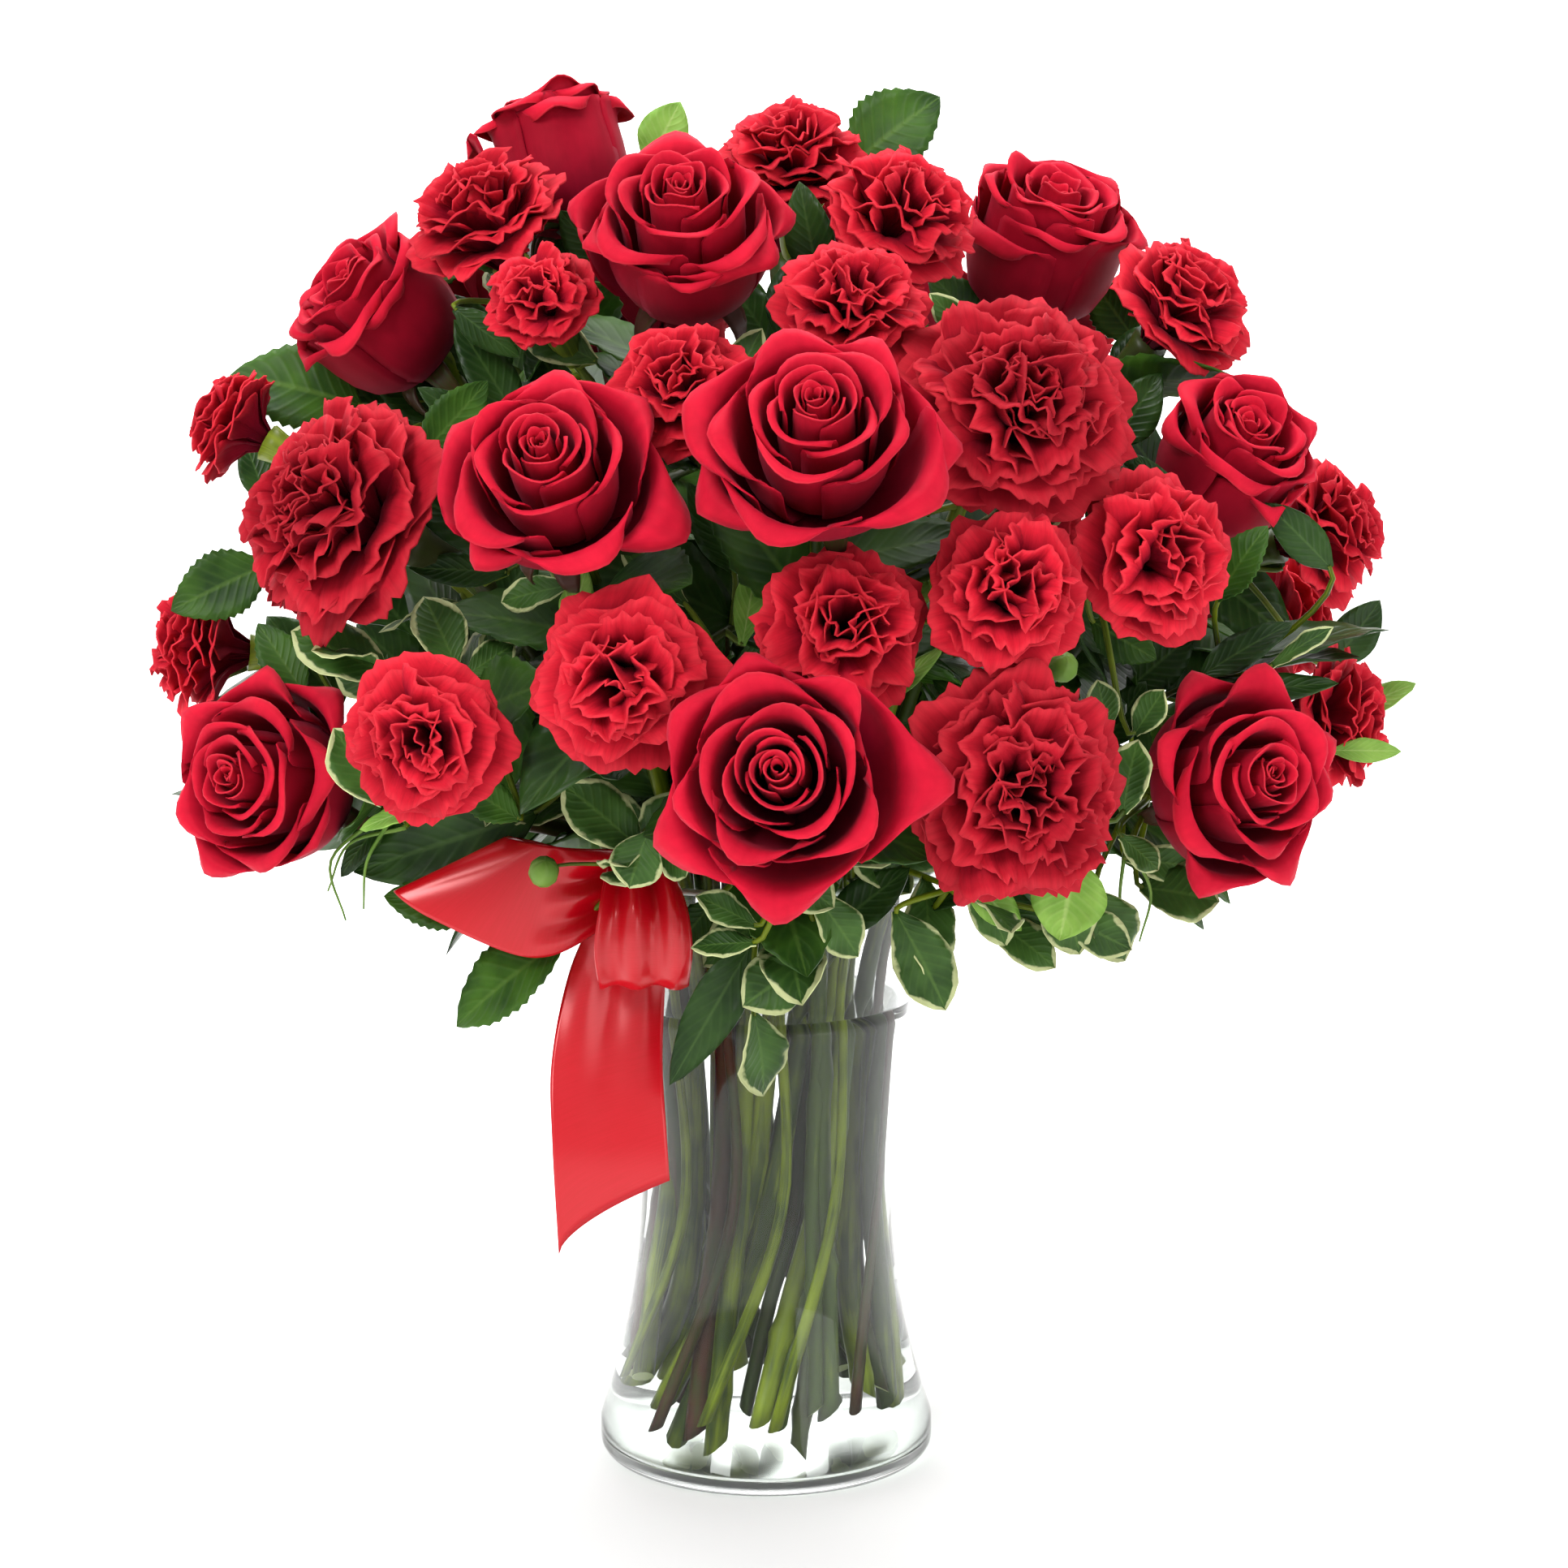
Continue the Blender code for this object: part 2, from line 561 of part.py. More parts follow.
def outline_round(places, radii, axis_turn, margin, count=10):
    """Corners of the tight straight-sided outline round several discs, as seen in count directions."""
    turns = axis_turn + math.tau * np.arange(count) / count
    normals = np.stack([np.cos(turns), np.sin(turns)], axis=1)
    support = (normals @ np.asarray(places).T + np.asarray(radii)[None, :]).max(axis=1) + margin
    corners = []
    for k in range(count):
        pair = np.stack([normals[k], normals[(k + 1) % count]])
        corners.append(np.linalg.solve(pair, np.array([support[k], support[(k + 1) % count]])))
    return corners


def bundle_hole(ways):
    """A plain hole in the water for the stems of one bundle."""
    radii = [way["radius"] for way in ways]
    lowest = min(way["path"][0][2] - CUT_SLOPE * way["radius"] for way in ways)
    levels = [max(lowest - GAP, GLASS_FLOOR + 2.0 * GAP), WAIST_HEIGHT, NECK_LEVEL]
    count = 10 if len(ways) > 1 else 6
    waist = np.mean([way["path"][1][:2] for way in ways], axis=0)
    turn = math.atan2(waist[1], waist[0])
    points, faces = [], []
    for k, height in enumerate(levels):
        places = []
        for way in ways:
            low, high = way["path"][min(k, 1)], way["path"][min(k, 1) + 1]
            share = (height - low[2]) / (high[2] - low[2])
            places.append((low + (high - low) * share)[:2])
        ring = outline_round(places, radii, turn, HOLE_MARGIN, count)
        points += [(x, y, height) for x, y in ring]
    for k in range(len(levels) - 1):
        for s in range(count):
            a, b = k * count + s, k * count + (s + 1) % count
            faces += [(a, b, b + count), (a, b + count, a + count)]
    last = (len(levels) - 1) * count
    faces += [(0, s + 1, s) for s in range(1, count - 1)]
    faces += [(last, last + s, last + s + 1) for s in range(1, count - 1)]
    return points, faces


def build_water(ways):
    levels = [GLASS_FLOOR + GAP, CORNER_LEVEL, *WALL_LEVELS[:-1], WATER_LEVEL]
    profile = [(inner_radius(z) - GAP, z) for z in levels]
    water = add_object("water", lathe(profile, VASE_SIDES), "vase_water")
    bundles = {}
    for way in ways:
        bundles.setdefault(way["group"], []).append(way)
    holes = [add_object("hole", bundle_hole(stems), "vase_water") for stems in bundles.values()]
    return fuse(water, holes, "DIFFERENCE")


def vase_stretch(bundle_azimuth, ring, offset, target, polar, radius, draw):
    """A stem in the vase: its cut end, its place at the waist, and where it leaves the water."""
    waist_azimuth = math.radians(bundle_azimuth) + offset / ring
    floor_azimuth = waist_azimuth - math.radians(TWIST)
    floor_ring = min(ring * SPREAD, FLOOR_RING)
    end = GLASS_FLOOR + CUT_LIFT + CUT_SLOPE * radius + draw.uniform(0.0, CUT_RANGE)
    floor = np.array([floor_ring * math.cos(floor_azimuth), floor_ring * math.sin(floor_azimuth), end])
    waist = np.array([ring * math.cos(waist_azimuth), ring * math.sin(waist_azimuth), WAIST_HEIGHT])
    room = inner_radius(WATER_LEVEL) - radius - 0.002
    mouth = unit(np.array([target[0], target[1]])) * room * min(1.0, polar / MOUTH_POLAR) * MOUTH_SHARE
    neck = np.array([*((1.0 - NECK_SHARE) * waist[:2] + NECK_SHARE * mouth), NECK_LEVEL])
    return floor, waist, neck


def polar_angle(place):
    offset = place - DOME_CENTRE
    return math.degrees(math.acos(offset[2] / np.linalg.norm(offset)))


def make_ways(heads):
    """Every stem's way from its cut end to its bloom, as points, with its bundle and its thickness."""
    draw = random.Random(11)
    ways = []
    members = {bundle: [] for bundle in BUNDLES}
    for head in heads.values():
        if head["bunch"] in BUNDLES:
            members[head["bunch"]].append((head["name"], head["base"], head))
    forks = {}
    for spray, bundle in SPRAYS.items():
        flowers = [head for head in heads.values() if head["bunch"] == spray]
        middle = sum(head["base"] for head in flowers) / len(flowers)
        fork = DOME_CENTRE + unit(middle - DOME_CENTRE) * FORK_REACH
        forks[spray] = fork
        members[bundle].append((spray, fork, None))
    for bundle, azimuth in BUNDLES.items():
        def turn_from_bundle(entry):
            seen = math.degrees(math.atan2(entry[1][1], entry[1][0]))
            return (seen - azimuth + 180.0) % 360.0
        ordered = sorted(members[bundle], key=turn_from_bundle)
        kinds = [head["kind"] if head else "mini" for _, _, head in ordered]
        thick = [STEM_RADIUS[kind] for kind in kinds]
        gaps = [0.0] + [BUNDLE_CLOSENESS * (a + b) for a, b in zip(thick, thick[1:])]
        offsets = np.cumsum(gaps) - 0.5 * sum(gaps)
        for (name, target, head), kind, radius, offset in zip(ordered, kinds, thick, offsets):
            polar = polar_angle(target)
            stretch = vase_stretch(azimuth, BUNDLE_RADIUS, offset, target, polar, radius, draw)
            facing = head["facing"] if head else unit(target - stretch[2])
            length = CALYX_LENGTH[kind] if head else 0.0
            end = target - facing * length if head else target
            span = np.linalg.norm(end - stretch[2])
            rise = unit(stretch[2] - stretch[1] + 0.01 * UP)
            upper = hermite(stretch[2], rise * span * 0.9, end, facing * span * 0.8, 6)
            ways.append(dict(name=name, group=bundle, path=np.vstack([stretch[0], stretch[1], upper]),
                             radius=radius, sides=5, wet=3, slope=CUT_SLOPE, head=head, held=()))
    for spray, fork in forks.items():
        bundle = SPRAYS[spray]
        trunk = next(way for way in ways if way["name"] == spray)
        rise = unit(trunk["path"][-1] - trunk["path"][-2])
        for head in (h for h in heads.values() if h["bunch"] == spray):
            end = head["base"] - head["facing"] * CALYX_LENGTH["mini"]
            span = np.linalg.norm(end - fork)
            start = fork - rise * 0.002
            path = hermite(start, rise * span * 0.6, end, head["facing"] * span * 0.8, 3)
            ways.append(dict(name=head["name"], group=bundle, path=path, radius=TWIG, sides=4, wet=0,
                             slope=0.0, head=head, held=()))
    for name, (kind, azimuth, elevation, reach, leaves) in SPRIGS.items():
        tip = DOME_CENTRE + direction(azimuth, elevation) * reach * 0.001
        stretch = vase_stretch(azimuth + 4, STALK_RING, 0.0, tip, 88.0, SPRIG_STALK, draw)
        out = unit(np.array([tip[0], tip[1], 0.0]))
        sill = out * SILL_RING + UP * SILL_HEIGHT
        if name == BOW_STALK:
            outer = np.vstack([BOW_IN, BOW_OUT, 0.5 * (BOW_OUT + tip) + UP * 0.003, tip])
            held = (4, 5, 6)
        else:
            span = np.linalg.norm(tip - sill)
            pull = out * 0.5 * span + UP * 0.5 * span
            outer = hermite(sill, pull, tip, out * span * 0.8 - UP * 0.3 * span, 4)[1:]
            held = (4,)
        rise = hermite(stretch[2], UP * 0.04, sill, (out + UP) * 0.02, 3)
        upper = np.vstack([rise, outer])
        ways.append(dict(name=name, group=name, path=np.vstack([stretch[0], stretch[1], upper]),
                         radius=SPRIG_STALK, sides=5, wet=3, slope=CUT_SLOPE, head=None, held=held,
                         leaves=leaves, kind=kind))
    return ways


def nearest_shares(start_a, run_a, start_b, run_b):
    """Where two straight stretches come nearest, as a share of each, for whole arrays of pairs."""
    gap = start_a - start_b
    aa = (run_a * run_a).sum(-1)
    bb = (run_b * run_b).sum(-1)
    ab = (run_a * run_b).sum(-1)
    ag = (run_a * gap).sum(-1)
    bg = (run_b * gap).sum(-1)
    along_a = np.clip((ab * bg - ag * bb) / np.maximum(aa * bb - ab * ab, 1e-15), 0.0, 1.0)
    along_b = np.clip((ab * along_a + bg) / bb, 0.0, 1.0)
    along_a = np.clip((ab * along_b - ag) / aa, 0.0, 1.0)
    return along_a, along_b


def push_off_heads(places, radius, own_head, heads):
    """How far to move places so that they clear the blooms, each taken as a ball."""
    back = [head["facing"] * BALL_BACK * head["size"] for head in heads.values()]
    centres = np.array([head["centre"] for head in heads.values()]) - np.array(back)
    sizes = np.array([BLOOM_BALL * head["size"] for head in heads.values()])
    away = places[:, None, :] - centres[None, :, :]
    reach = np.linalg.norm(away, axis=2)
    close = np.clip(sizes[None, :] + radius[:, None] + STEM_ROOM - reach, 0.0, None)
    close[own_head] = 0.0
    return (away / reach[:, :, None] * close[:, :, None]).sum(axis=1)


def push_off_glass(places, radius):
    """How far to move places that are inside the vase, or near its rim, so that they clear the glass."""
    ring = np.linalg.norm(places[:, :2], axis=1)
    inside = (places[:, 2] < VASE_HEIGHT + 0.004) & (ring < LIP_RADIUS + 0.002)
    room = np.array([inner_radius(min(max(z, GLASS_FLOOR), VASE_HEIGHT)) for z in places[:, 2]])
    over = np.where(inside, np.clip(ring + radius + GLASS_CLEAR - room, 0.0, None), 0.0)
    push = np.zeros_like(places)
    push[:, :2] = -places[:, :2] / ring[:, None] * over[:, None]
    rim = np.hstack([places[:, :2] / ring[:, None] * RIM_RADIUS, np.full((len(places), 1), VASE_HEIGHT)])
    away = places - rim
    near = np.linalg.norm(away, axis=1)
    push += away / near[:, None] * np.clip(radius + GLASS_WALL + STEM_ROOM - near, 0.0, None)[:, None]
    return push


def push_off_bow(places, ties):
    """How far to move places off the bow, but for the stalk that it is tied round."""
    away = places - BOW
    near = np.linalg.norm(away, axis=1)
    return away / near[:, None] * np.where(ties, 0.0, np.clip(BOW_ROOM - near, 0.0, None))[:, None]


def part_ways(ways, heads, rounds=90):
    """Eases stems of different bundles off each other, off the blooms, the bow and the glass.

    Stretches are pushed apart where they come nearest, and each push goes to the points at the
    stretch's ends, by how near they are. Cut ends, the waist and the ends at the blooms stay, and
    the place where a stem leaves the water only moves level.
    """
    points = np.vstack([way["path"] for way in ways])
    owner, first, free, start = [], [], [], 0
    for k, way in enumerate(ways):
        count = len(way["path"])
        held = 2 if way["wet"] else 1
        for i in range(count):
            stays = i < held or i == count - 1 or i in way["held"]
            level = i == 2 and way["wet"]
            free.append((0.0, 0.0, 0.0) if stays else (1.0, 1.0, 0.0 if level else 1.0))
        first += range(start, start + count - 1)
        owner += [k] * (count - 1)
        way["rows"] = (start, start + count)
        start += count
    first, owner, free = np.array(first), np.array(owner), np.array(free)
    radius = np.array([ways[k]["radius"] for k in owner])
    bundle = np.array([hash_name(ways[k]["group"]) for k in owner])
    a, b = np.triu_indices(len(first), 1)
    apart = bundle[a] != bundle[b]
    a, b = a[apart], b[apart]
    want = radius[a] + radius[b] + STEM_ROOM
    own_head = np.array([[ways[k]["name"] == name for name in heads] for k in owner])
    ties = np.array([ways[k]["name"] == BOW_STALK for k in owner])
    for _ in range(rounds):
        shift, total = np.zeros_like(points), np.zeros(len(points))

        def give(rows, along, push):
            for index, share in ((first[rows], 1.0 - along), (first[rows] + 1, along)):
                np.add.at(shift, index, push * share[:, None])
                np.add.at(total, index, share * (np.linalg.norm(push, axis=1) > 0.0))

        low, run = points[first], points[first + 1] - points[first]
        along_a, along_b = nearest_shares(low[a], run[a], low[b], run[b])
        away = low[a] + run[a] * along_a[:, None] - low[b] - run[b] * along_b[:, None]
        distance = np.linalg.norm(away, axis=1) + 1e-9
        push = away / distance[:, None] * np.clip(want - distance, 0.0, None)[:, None] * 0.5
        give(a, along_a, push)
        give(b, along_b, -push)
        for spot in np.linspace(0.07, 0.93, 7):
            places = low + run * spot
            push = push_off_heads(places, radius, own_head, heads) * 0.5
            push += push_off_glass(places, radius) + push_off_bow(places, ties)
            give(np.arange(len(first)), np.full(len(first), spot), push)
        points = points + shift / np.maximum(total, 1.0)[:, None] * 1.6 * free
        for way in ways:
            low_row, high_row = way["rows"]
            path = points[low_row:high_row]
            smooth = 0.5 * (path[:-2] + path[2:]) - path[1:-1]
            points[low_row + 1:high_row - 1] += 0.05 * smooth * free[low_row + 1:high_row - 1]
    for way in ways:
        low_row, high_row = way["rows"]
        way["path"] = points[low_row:high_row]
    return ways


def hash_name(name):
    """A number for a bundle's name, the same in each run."""
    return list(BUNDLES).index(name) if name in BUNDLES else 100 + list(SPRIGS).index(name)


def find_heads():
    """Each bloom's centre, facing, size and seat, after the blooms have settled."""
    homes = np.array([DOME_CENTRE + direction(b[2], b[3]) * b[4] * 0.001 for b in BLOOMS])
    radii = np.array([BLOOM_TOUCH * b[5] * 0.001 for b in BLOOMS])
    centres = settle(homes, radii)
    heads = {}
    for (name, kind, _, _, _, size, turn, tilt, bunch), centre in zip(BLOOMS, centres):
        facing = direction(turn, tilt)
        size = size * 0.001
        height = HEAD_HEIGHT[kind] * size
        heads[name] = dict(name=name, kind=kind, centre=centre, facing=facing, size=size, height=height,
                           base=centre - facing * CENTRE_LEVEL * height, bunch=bunch)
    return heads


def build_head(head, number):
    draw = random.Random(100 + number)
    radius = 0.5 * head["size"] * BLOOM_FILL
    height = head["height"] * 0.98
    seat = head["base"] + head["facing"] * GAP
    turn = draw.uniform(0.0, math.tau)
    kind = head["kind"]
    if kind == "rose":
        solid = rose_head(radius, height, draw)
    else:
        sizes = (6, 8, 6) if kind == "standard" else (4, 6, 4)
        solid = carnation_head(radius, height, CALYX_RADIUS[kind], sizes, draw)
    surface = "rose_petals" if kind == "rose" else "carnation_petals"
    return add_object(head["name"], place_head(solid, seat, head["facing"], turn), surface)


def tree_of(solid):
    points, faces = solid
    return BVHTree.FromPolygons([tuple(map(float, p)) for p in points], faces)


def object_tree(thing):
    mesh = thing.data
    return BVHTree.FromPolygons([v.co[:] for v in mesh.vertices], [p.vertices[:] for p in mesh.polygons])


def point_on(path, share):
    """A place and a direction on a path, by share of its length."""
    steps = np.diff(path, axis=0)
    lengths = np.linalg.norm(steps, axis=1)
    along = np.concatenate([[0.0], np.cumsum(lengths)])
    target = share * along[-1]
    k = min(int(np.searchsorted(along, target, side="right")) - 1, len(lengths) - 1)
    rest = (target - along[k]) / lengths[k]
    return path[k] + steps[k] * rest, steps[k] / lengths[k]


def grow_leaves(way, kind, count, start, end, others, own, draw):
    """Leaves up a stalk, each turned on from the last, where there is room for them."""
    made = []
    spin = draw.uniform(0.0, math.tau)
    for k in range(count):
        share = end if count == 1 else start + (end - start) * k / (count - 1)
        place, along = point_on(way["path"], share)
        side, up = frame_about(along)
        spin += math.radians(LEAF_TURN)
        last = kind != "rose" and k == count - 1
        for attempt in range(14):
            angle = spin + math.radians(RETRY_TURN) * attempt
            tilt = math.radians(TIP_TILT if last else LEAF_TILT + 8.0 * (attempt % 3))
            out = math.cos(angle) * side + math.sin(angle) * up
            way_out = math.cos(tilt) * along + math.sin(tilt) * out
            face_up = unit(0.7 * UP + 0.6 * unit(place - DOME_CENTRE) + 0.5 * along)
            scale = draw.uniform(0.85, 1.12) * (0.93 ** (attempt // 5))
            phase = draw.uniform(0.0, math.tau)
            if way_out.dot(face_up) > 0.94:
                continue
            test = tree_of(blade(kind, place, way_out, face_up, scale, phase, grow=LEAF_ROOM))
            if any(test.overlap(tree) for tree in others) or any(test.overlap(tree) for tree in own):
                continue
            solid = blade(kind, place, way_out, face_up, scale, phase)
            made.append(solid)
            own.append(tree_of(solid))
            break
    return made


def ribbon_run(stations):
    """A closed thin band through the stations, with both of its faces split alike."""
    middles = np.array([BOW + 0.001 * np.array(place, dtype=float) for place, _, _ in stations])
    across = np.array([unit(np.array(way, dtype=float)) for _, way, _ in stations])
    widths = np.array([RIBBON_WIDTH * share for _, _, share in stations])
    forward = np.gradient(middles, axis=0)
    normals = np.cross(forward, across)
    normals /= np.linalg.norm(normals, axis=1)[:, None]
    points = []
    for k in range(len(stations)):
        for side, face in ((-0.5, -0.5), (0.5, -0.5), (0.5, 0.5), (-0.5, 0.5)):
            points.append(middles[k] + across[k] * widths[k] * side + normals[k] * RIBBON_SHEET * face)
    faces = []
    for k in range(len(stations) - 1):
        a, b = 4 * k, 4 * k + 4
        faces += [(a, a + 1, b + 1), (a, b + 1, b)]
        faces += [(a + 1, a + 2, b + 2), (a + 1, b + 2, b + 1)]
        faces += [(a + 3, b + 2, a + 2), (a + 3, b + 3, b + 2)]
        faces += [(a + 3, a, b), (a + 3, b, b + 3)]
    last = 4 * (len(stations) - 1)
    faces += [(0, 3, 2), (0, 2, 1), (last, last + 1, last + 2), (last, last + 2, last + 3)]
    return points, faces


def knot():
    """The pulled-in middle of the bow, a pleated lump round the stalk."""
    mesh = bmesh.new()
    bmesh.ops.create_icosphere(mesh, subdivisions=1, radius=1.0)
    points = [BOW + KNOT * np.array(v.co) * (1.0 + 0.06 * math.cos(8.0 * v.co.x)) for v in mesh.verts]
    faces = [tuple(v.index for v in f.verts) for f in mesh.faces]
    mesh.free()
    return points, faces


def build_ribbon():
    runs = [add_object("run", ribbon_run(run), "satin_ribbon") for run in (LEFT_LOOP, FRONT_LOOP, TAIL)]
    ribbon = fuse(add_object("ribbon_bow", knot(), "satin_ribbon"), runs)
    along = unit(BOW_OUT - BOW_IN)
    bore = tube([BOW_IN - along * 0.004, BOW_OUT + along * 0.004], SPRIG_STALK + 1.3 * GAP, 5)
    return fuse(ribbon, [add_object("bore", bore, "satin_ribbon")], "DIFFERENCE")


def stem_pieces(ways):
    """The bare tubes of each bundle and each leaf spray, with a calyx under every bloom."""
    groups = {}
    for way in ways:
        path, calyx = way["path"], None
        if way["head"]:
            path = np.vstack([path, way["head"]["base"]])
            calyx = CALYX_RADIUS[way["head"]["kind"]]
        piece = tube(path, way["radius"], way["sides"], way["slope"], calyx)
        groups.setdefault(way["group"], []).append(piece)
    return groups


def add_leaves(ways, groups, solid_trees):
    """Grows the leaves of every spray and rose stem, clear of all that is in their way."""
    bare = {group: [tree_of(piece) for piece in pieces] for group, pieces in groups.items()}
    leafy = {group: [] for group in groups}
    for number, way in enumerate(ways):
        group = way["group"]
        if "leaves" in way:
            kind, count, start, end = way["kind"], way["leaves"], 0.62, 0.985
        elif way["name"] in ROSE_LEAVES:
            kind, count, start, end = "rose", ROSE_LEAVES[way["name"]], 0.66, 0.90
        else:
            continue
        others = list(solid_trees)
        for other in groups:
            if other != group:
                others += bare[other] + leafy[other]
        draw = random.Random(500 + number)
        groups[group] += grow_leaves(way, kind, count, start, end, others, leafy[group], draw)


def surface_of(group):
    if group.startswith("pittosporum"):
        return "pittosporum_leaves"
    if group.startswith("salal"):
        return "salal_leaves"
    return "rose_greens" if group.startswith("rose") else "carnation_greens"


def main():
    clear_scene()
    heads = find_heads()
    blooms = [build_head(head, number) for number, head in enumerate(heads.values())]
    ways = part_ways(make_ways(heads), heads)
    vase = build_vase()
    ribbon = build_ribbon()
    build_water([way for way in ways if way["wet"]])
    groups = stem_pieces(ways)
    add_leaves(ways, groups, [object_tree(thing) for thing in [*blooms, vase, ribbon]])
    for group, pieces in groups.items():
        base, *others = [add_object(group, piece, surface_of(group)) for piece in pieces]
        fuse(base, others)


main()
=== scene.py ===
# %% [markdown]
# Roses and carnations in a glass vase, with a satin bow.
#
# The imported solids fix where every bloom, stem, leaf, the ribbon and the vase are. This script dresses
# them: each plain solid is replaced by finer surfaces in the same place, worked out with numpy, and each
# gets a procedural finish. Lengths are metres, +Z is up and the front of the bouquet looks to -Y.

# %% Load the frame
import math
import random

import bpy
import numpy as np
from mathutils.bvhtree import BVHTree
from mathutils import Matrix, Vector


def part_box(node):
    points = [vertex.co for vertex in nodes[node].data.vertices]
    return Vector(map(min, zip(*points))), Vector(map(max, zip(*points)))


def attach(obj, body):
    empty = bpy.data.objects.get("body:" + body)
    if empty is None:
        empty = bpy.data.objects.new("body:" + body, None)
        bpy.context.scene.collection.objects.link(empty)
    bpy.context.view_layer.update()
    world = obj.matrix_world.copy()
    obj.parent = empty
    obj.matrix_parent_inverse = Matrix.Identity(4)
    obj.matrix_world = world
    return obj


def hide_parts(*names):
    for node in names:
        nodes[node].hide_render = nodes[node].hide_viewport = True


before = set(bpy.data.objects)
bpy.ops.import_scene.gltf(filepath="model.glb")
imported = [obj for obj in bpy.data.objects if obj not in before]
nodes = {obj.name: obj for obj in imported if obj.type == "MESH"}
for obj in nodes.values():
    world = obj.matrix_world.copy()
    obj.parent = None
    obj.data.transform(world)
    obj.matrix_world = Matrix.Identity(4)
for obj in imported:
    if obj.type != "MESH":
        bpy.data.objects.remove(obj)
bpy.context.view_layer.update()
UP = np.array([0.0, 0.0, 1.0])
MM = 0.001

# %% [markdown]
# A camera stands where the photograph was taken: at the front, a little above the middle, looking
# slightly down, far enough away for the bouquet to look almost flat. It could be aimed by eye, but the
# place and the tilt are worked out once, from the foot and the rim of the vase, so every bloom can be
# compared with its own place in the picture.

# %% Camera
CAMERA_PLACE = (0.006, -1.25, 0.43)
CAMERA_TILT = math.radians(9.3)
FOCAL_PIXELS = 4770.0
PICTURE_PIXELS = 1932.0


def new_object(name, data):
    """An object in the scene that holds a mesh, a lamp or a camera."""
    made = bpy.data.objects.new(name, data)
    bpy.context.scene.collection.objects.link(made)
    return made


lens = bpy.data.cameras.new("studio_camera")
lens.sensor_width = 36.0
lens.lens = lens.sensor_width * FOCAL_PIXELS / PICTURE_PIXELS
lens.clip_start = 0.05
camera = new_object("studio_camera", lens)
camera.location = CAMERA_PLACE
camera.rotation_euler = (math.pi / 2 - CAMERA_TILT, 0.0, 0.0)
bpy.context.scene.camera = camera
print("lens", round(lens.lens, 1), "mm")

# %% [markdown]
# The vase stands on a plain pale floor that curves up behind it, under wide soft lamps: a strong one from
# the front left, weaker ones from the right and from above, and one that lights the floor where it curves
# up, in a pale room. Small lamps would cut hard shadows into the petals; wide ones let the red stay
# saturated, as in the photo.

# %% Floor and light
FLOOR_SIZE = 6.0
FLOOR_BACK = 1.6
FLOOR_BEND = 0.9
FLOOR_TOP = 3.0
FLOOR_GAP = 0.0003
LEVEL_ROWS, BEND_ROWS = 6, 12
FLOOR_COLOUR, FLOOR_ROUGH = (0.93, 0.93, 0.93, 1.0), 0.9
# Each lamp's place, the point that it shines at, the width of its square and its power in watts
LAMPS = {
    "key": ((-1.3, -1.9, 1.9), (0.0, 0.0, 0.28), 1.0, 48.0),
    "fill": ((1.7, -1.8, 0.7), (0.0, 0.0, 0.25), 1.6, 16.0),
    "top": ((0.1, 0.3, 2.2), (0.0, 0.0, 0.25), 1.2, 18.0),
    "backdrop": ((0.0, 0.9, 2.0), (0.0, 2.3, 0.4), 1.6, 70.0),
}
ROOM_COLOUR, ROOM_STRENGTH = (1.0, 1.0, 1.0, 1.0), 0.80


def sweep_floor():
    """A sheet that runs level, then up a quarter circle, then straight up: height is a function of depth.

    It lies a hair under the foot, so that light leaves the glass before it meets the floor.
    """
    level = np.linspace(-FLOOR_SIZE, FLOOR_BACK, LEVEL_ROWS)
    turn = np.linspace(0, math.pi / 2, BEND_ROWS)[1:]
    y = np.concatenate([level, FLOOR_BACK + FLOOR_BEND * np.sin(turn)])
    z = np.concatenate([0.0 * level, FLOOR_BEND * (1.0 - np.cos(turn))]) - FLOOR_GAP
    y, z = np.append(y, y[-1]), np.append(z, FLOOR_TOP)
    x = np.array([-FLOOR_SIZE, FLOOR_SIZE])
    grid = np.stack([np.tile(x, (len(y), 1)), np.tile(y[:, None], 2), np.tile(z[:, None], 2)], axis=-1)
    count = 2 * (len(y) - 1)
    faces = [(k, k + 1, k + 3, k + 2) for k in range(0, count, 2)]
    mesh = bpy.data.meshes.new("floor")
    mesh.from_pydata(grid.reshape(-1, 3).tolist(), [], faces)
    mesh.shade_smooth()
    floor = new_object("floor", mesh)
    paint = bpy.data.materials.new("floor_paint")
    paint.use_nodes = True
    shader = paint.node_tree.nodes["Principled BSDF"]
    shader.inputs["Base Color"].default_value = FLOOR_COLOUR
    shader.inputs["Roughness"].default_value = FLOOR_ROUGH
    mesh.materials.append(paint)


def soft_light(name, place, target, width, power):
    """A square lamp that shines from a place to a target."""
    lamp = bpy.data.lights.new(name, "AREA")
    lamp.size = width
    lamp.energy = power
    holder = new_object(name, lamp)
    holder.location = place
    way = np.array(target) - np.array(place)
    flat = math.hypot(way[0], way[1])
    holder.rotation_euler = (math.atan2(flat, -way[2]), 0.0, math.atan2(way[1], way[0]) - math.pi / 2)


sweep_floor()
for name, settings in LAMPS.items():
    soft_light(name, *settings)
room = bpy.data.worlds.new("room")
room.use_nodes = True
room_light = room.node_tree.nodes["Background"]
room_light.inputs["Color"].default_value = ROOM_COLOUR
room_light.inputs["Strength"].default_value = ROOM_STRENGTH
bpy.context.scene.world = room
bpy.context.scene.view_settings.view_transform = "Standard"
print("floor and", len(LAMPS), "lamps")

# %% [markdown]
# Every petal, leaf and ribbon is a thin sheet. A sheet with only one side has no real edge, so each one
# is made as a closed shell: a grid of points is moved half the thickness along its normals to make the
# front, the other way to make the back, and a band of faces joins the two round the border. Stacks of
# grids of one size are handled at once, because a bouquet has about a thousand petals. Stems, buds, the
# glass and the water are round, so their grids close on themselves and get a flat face over each end.

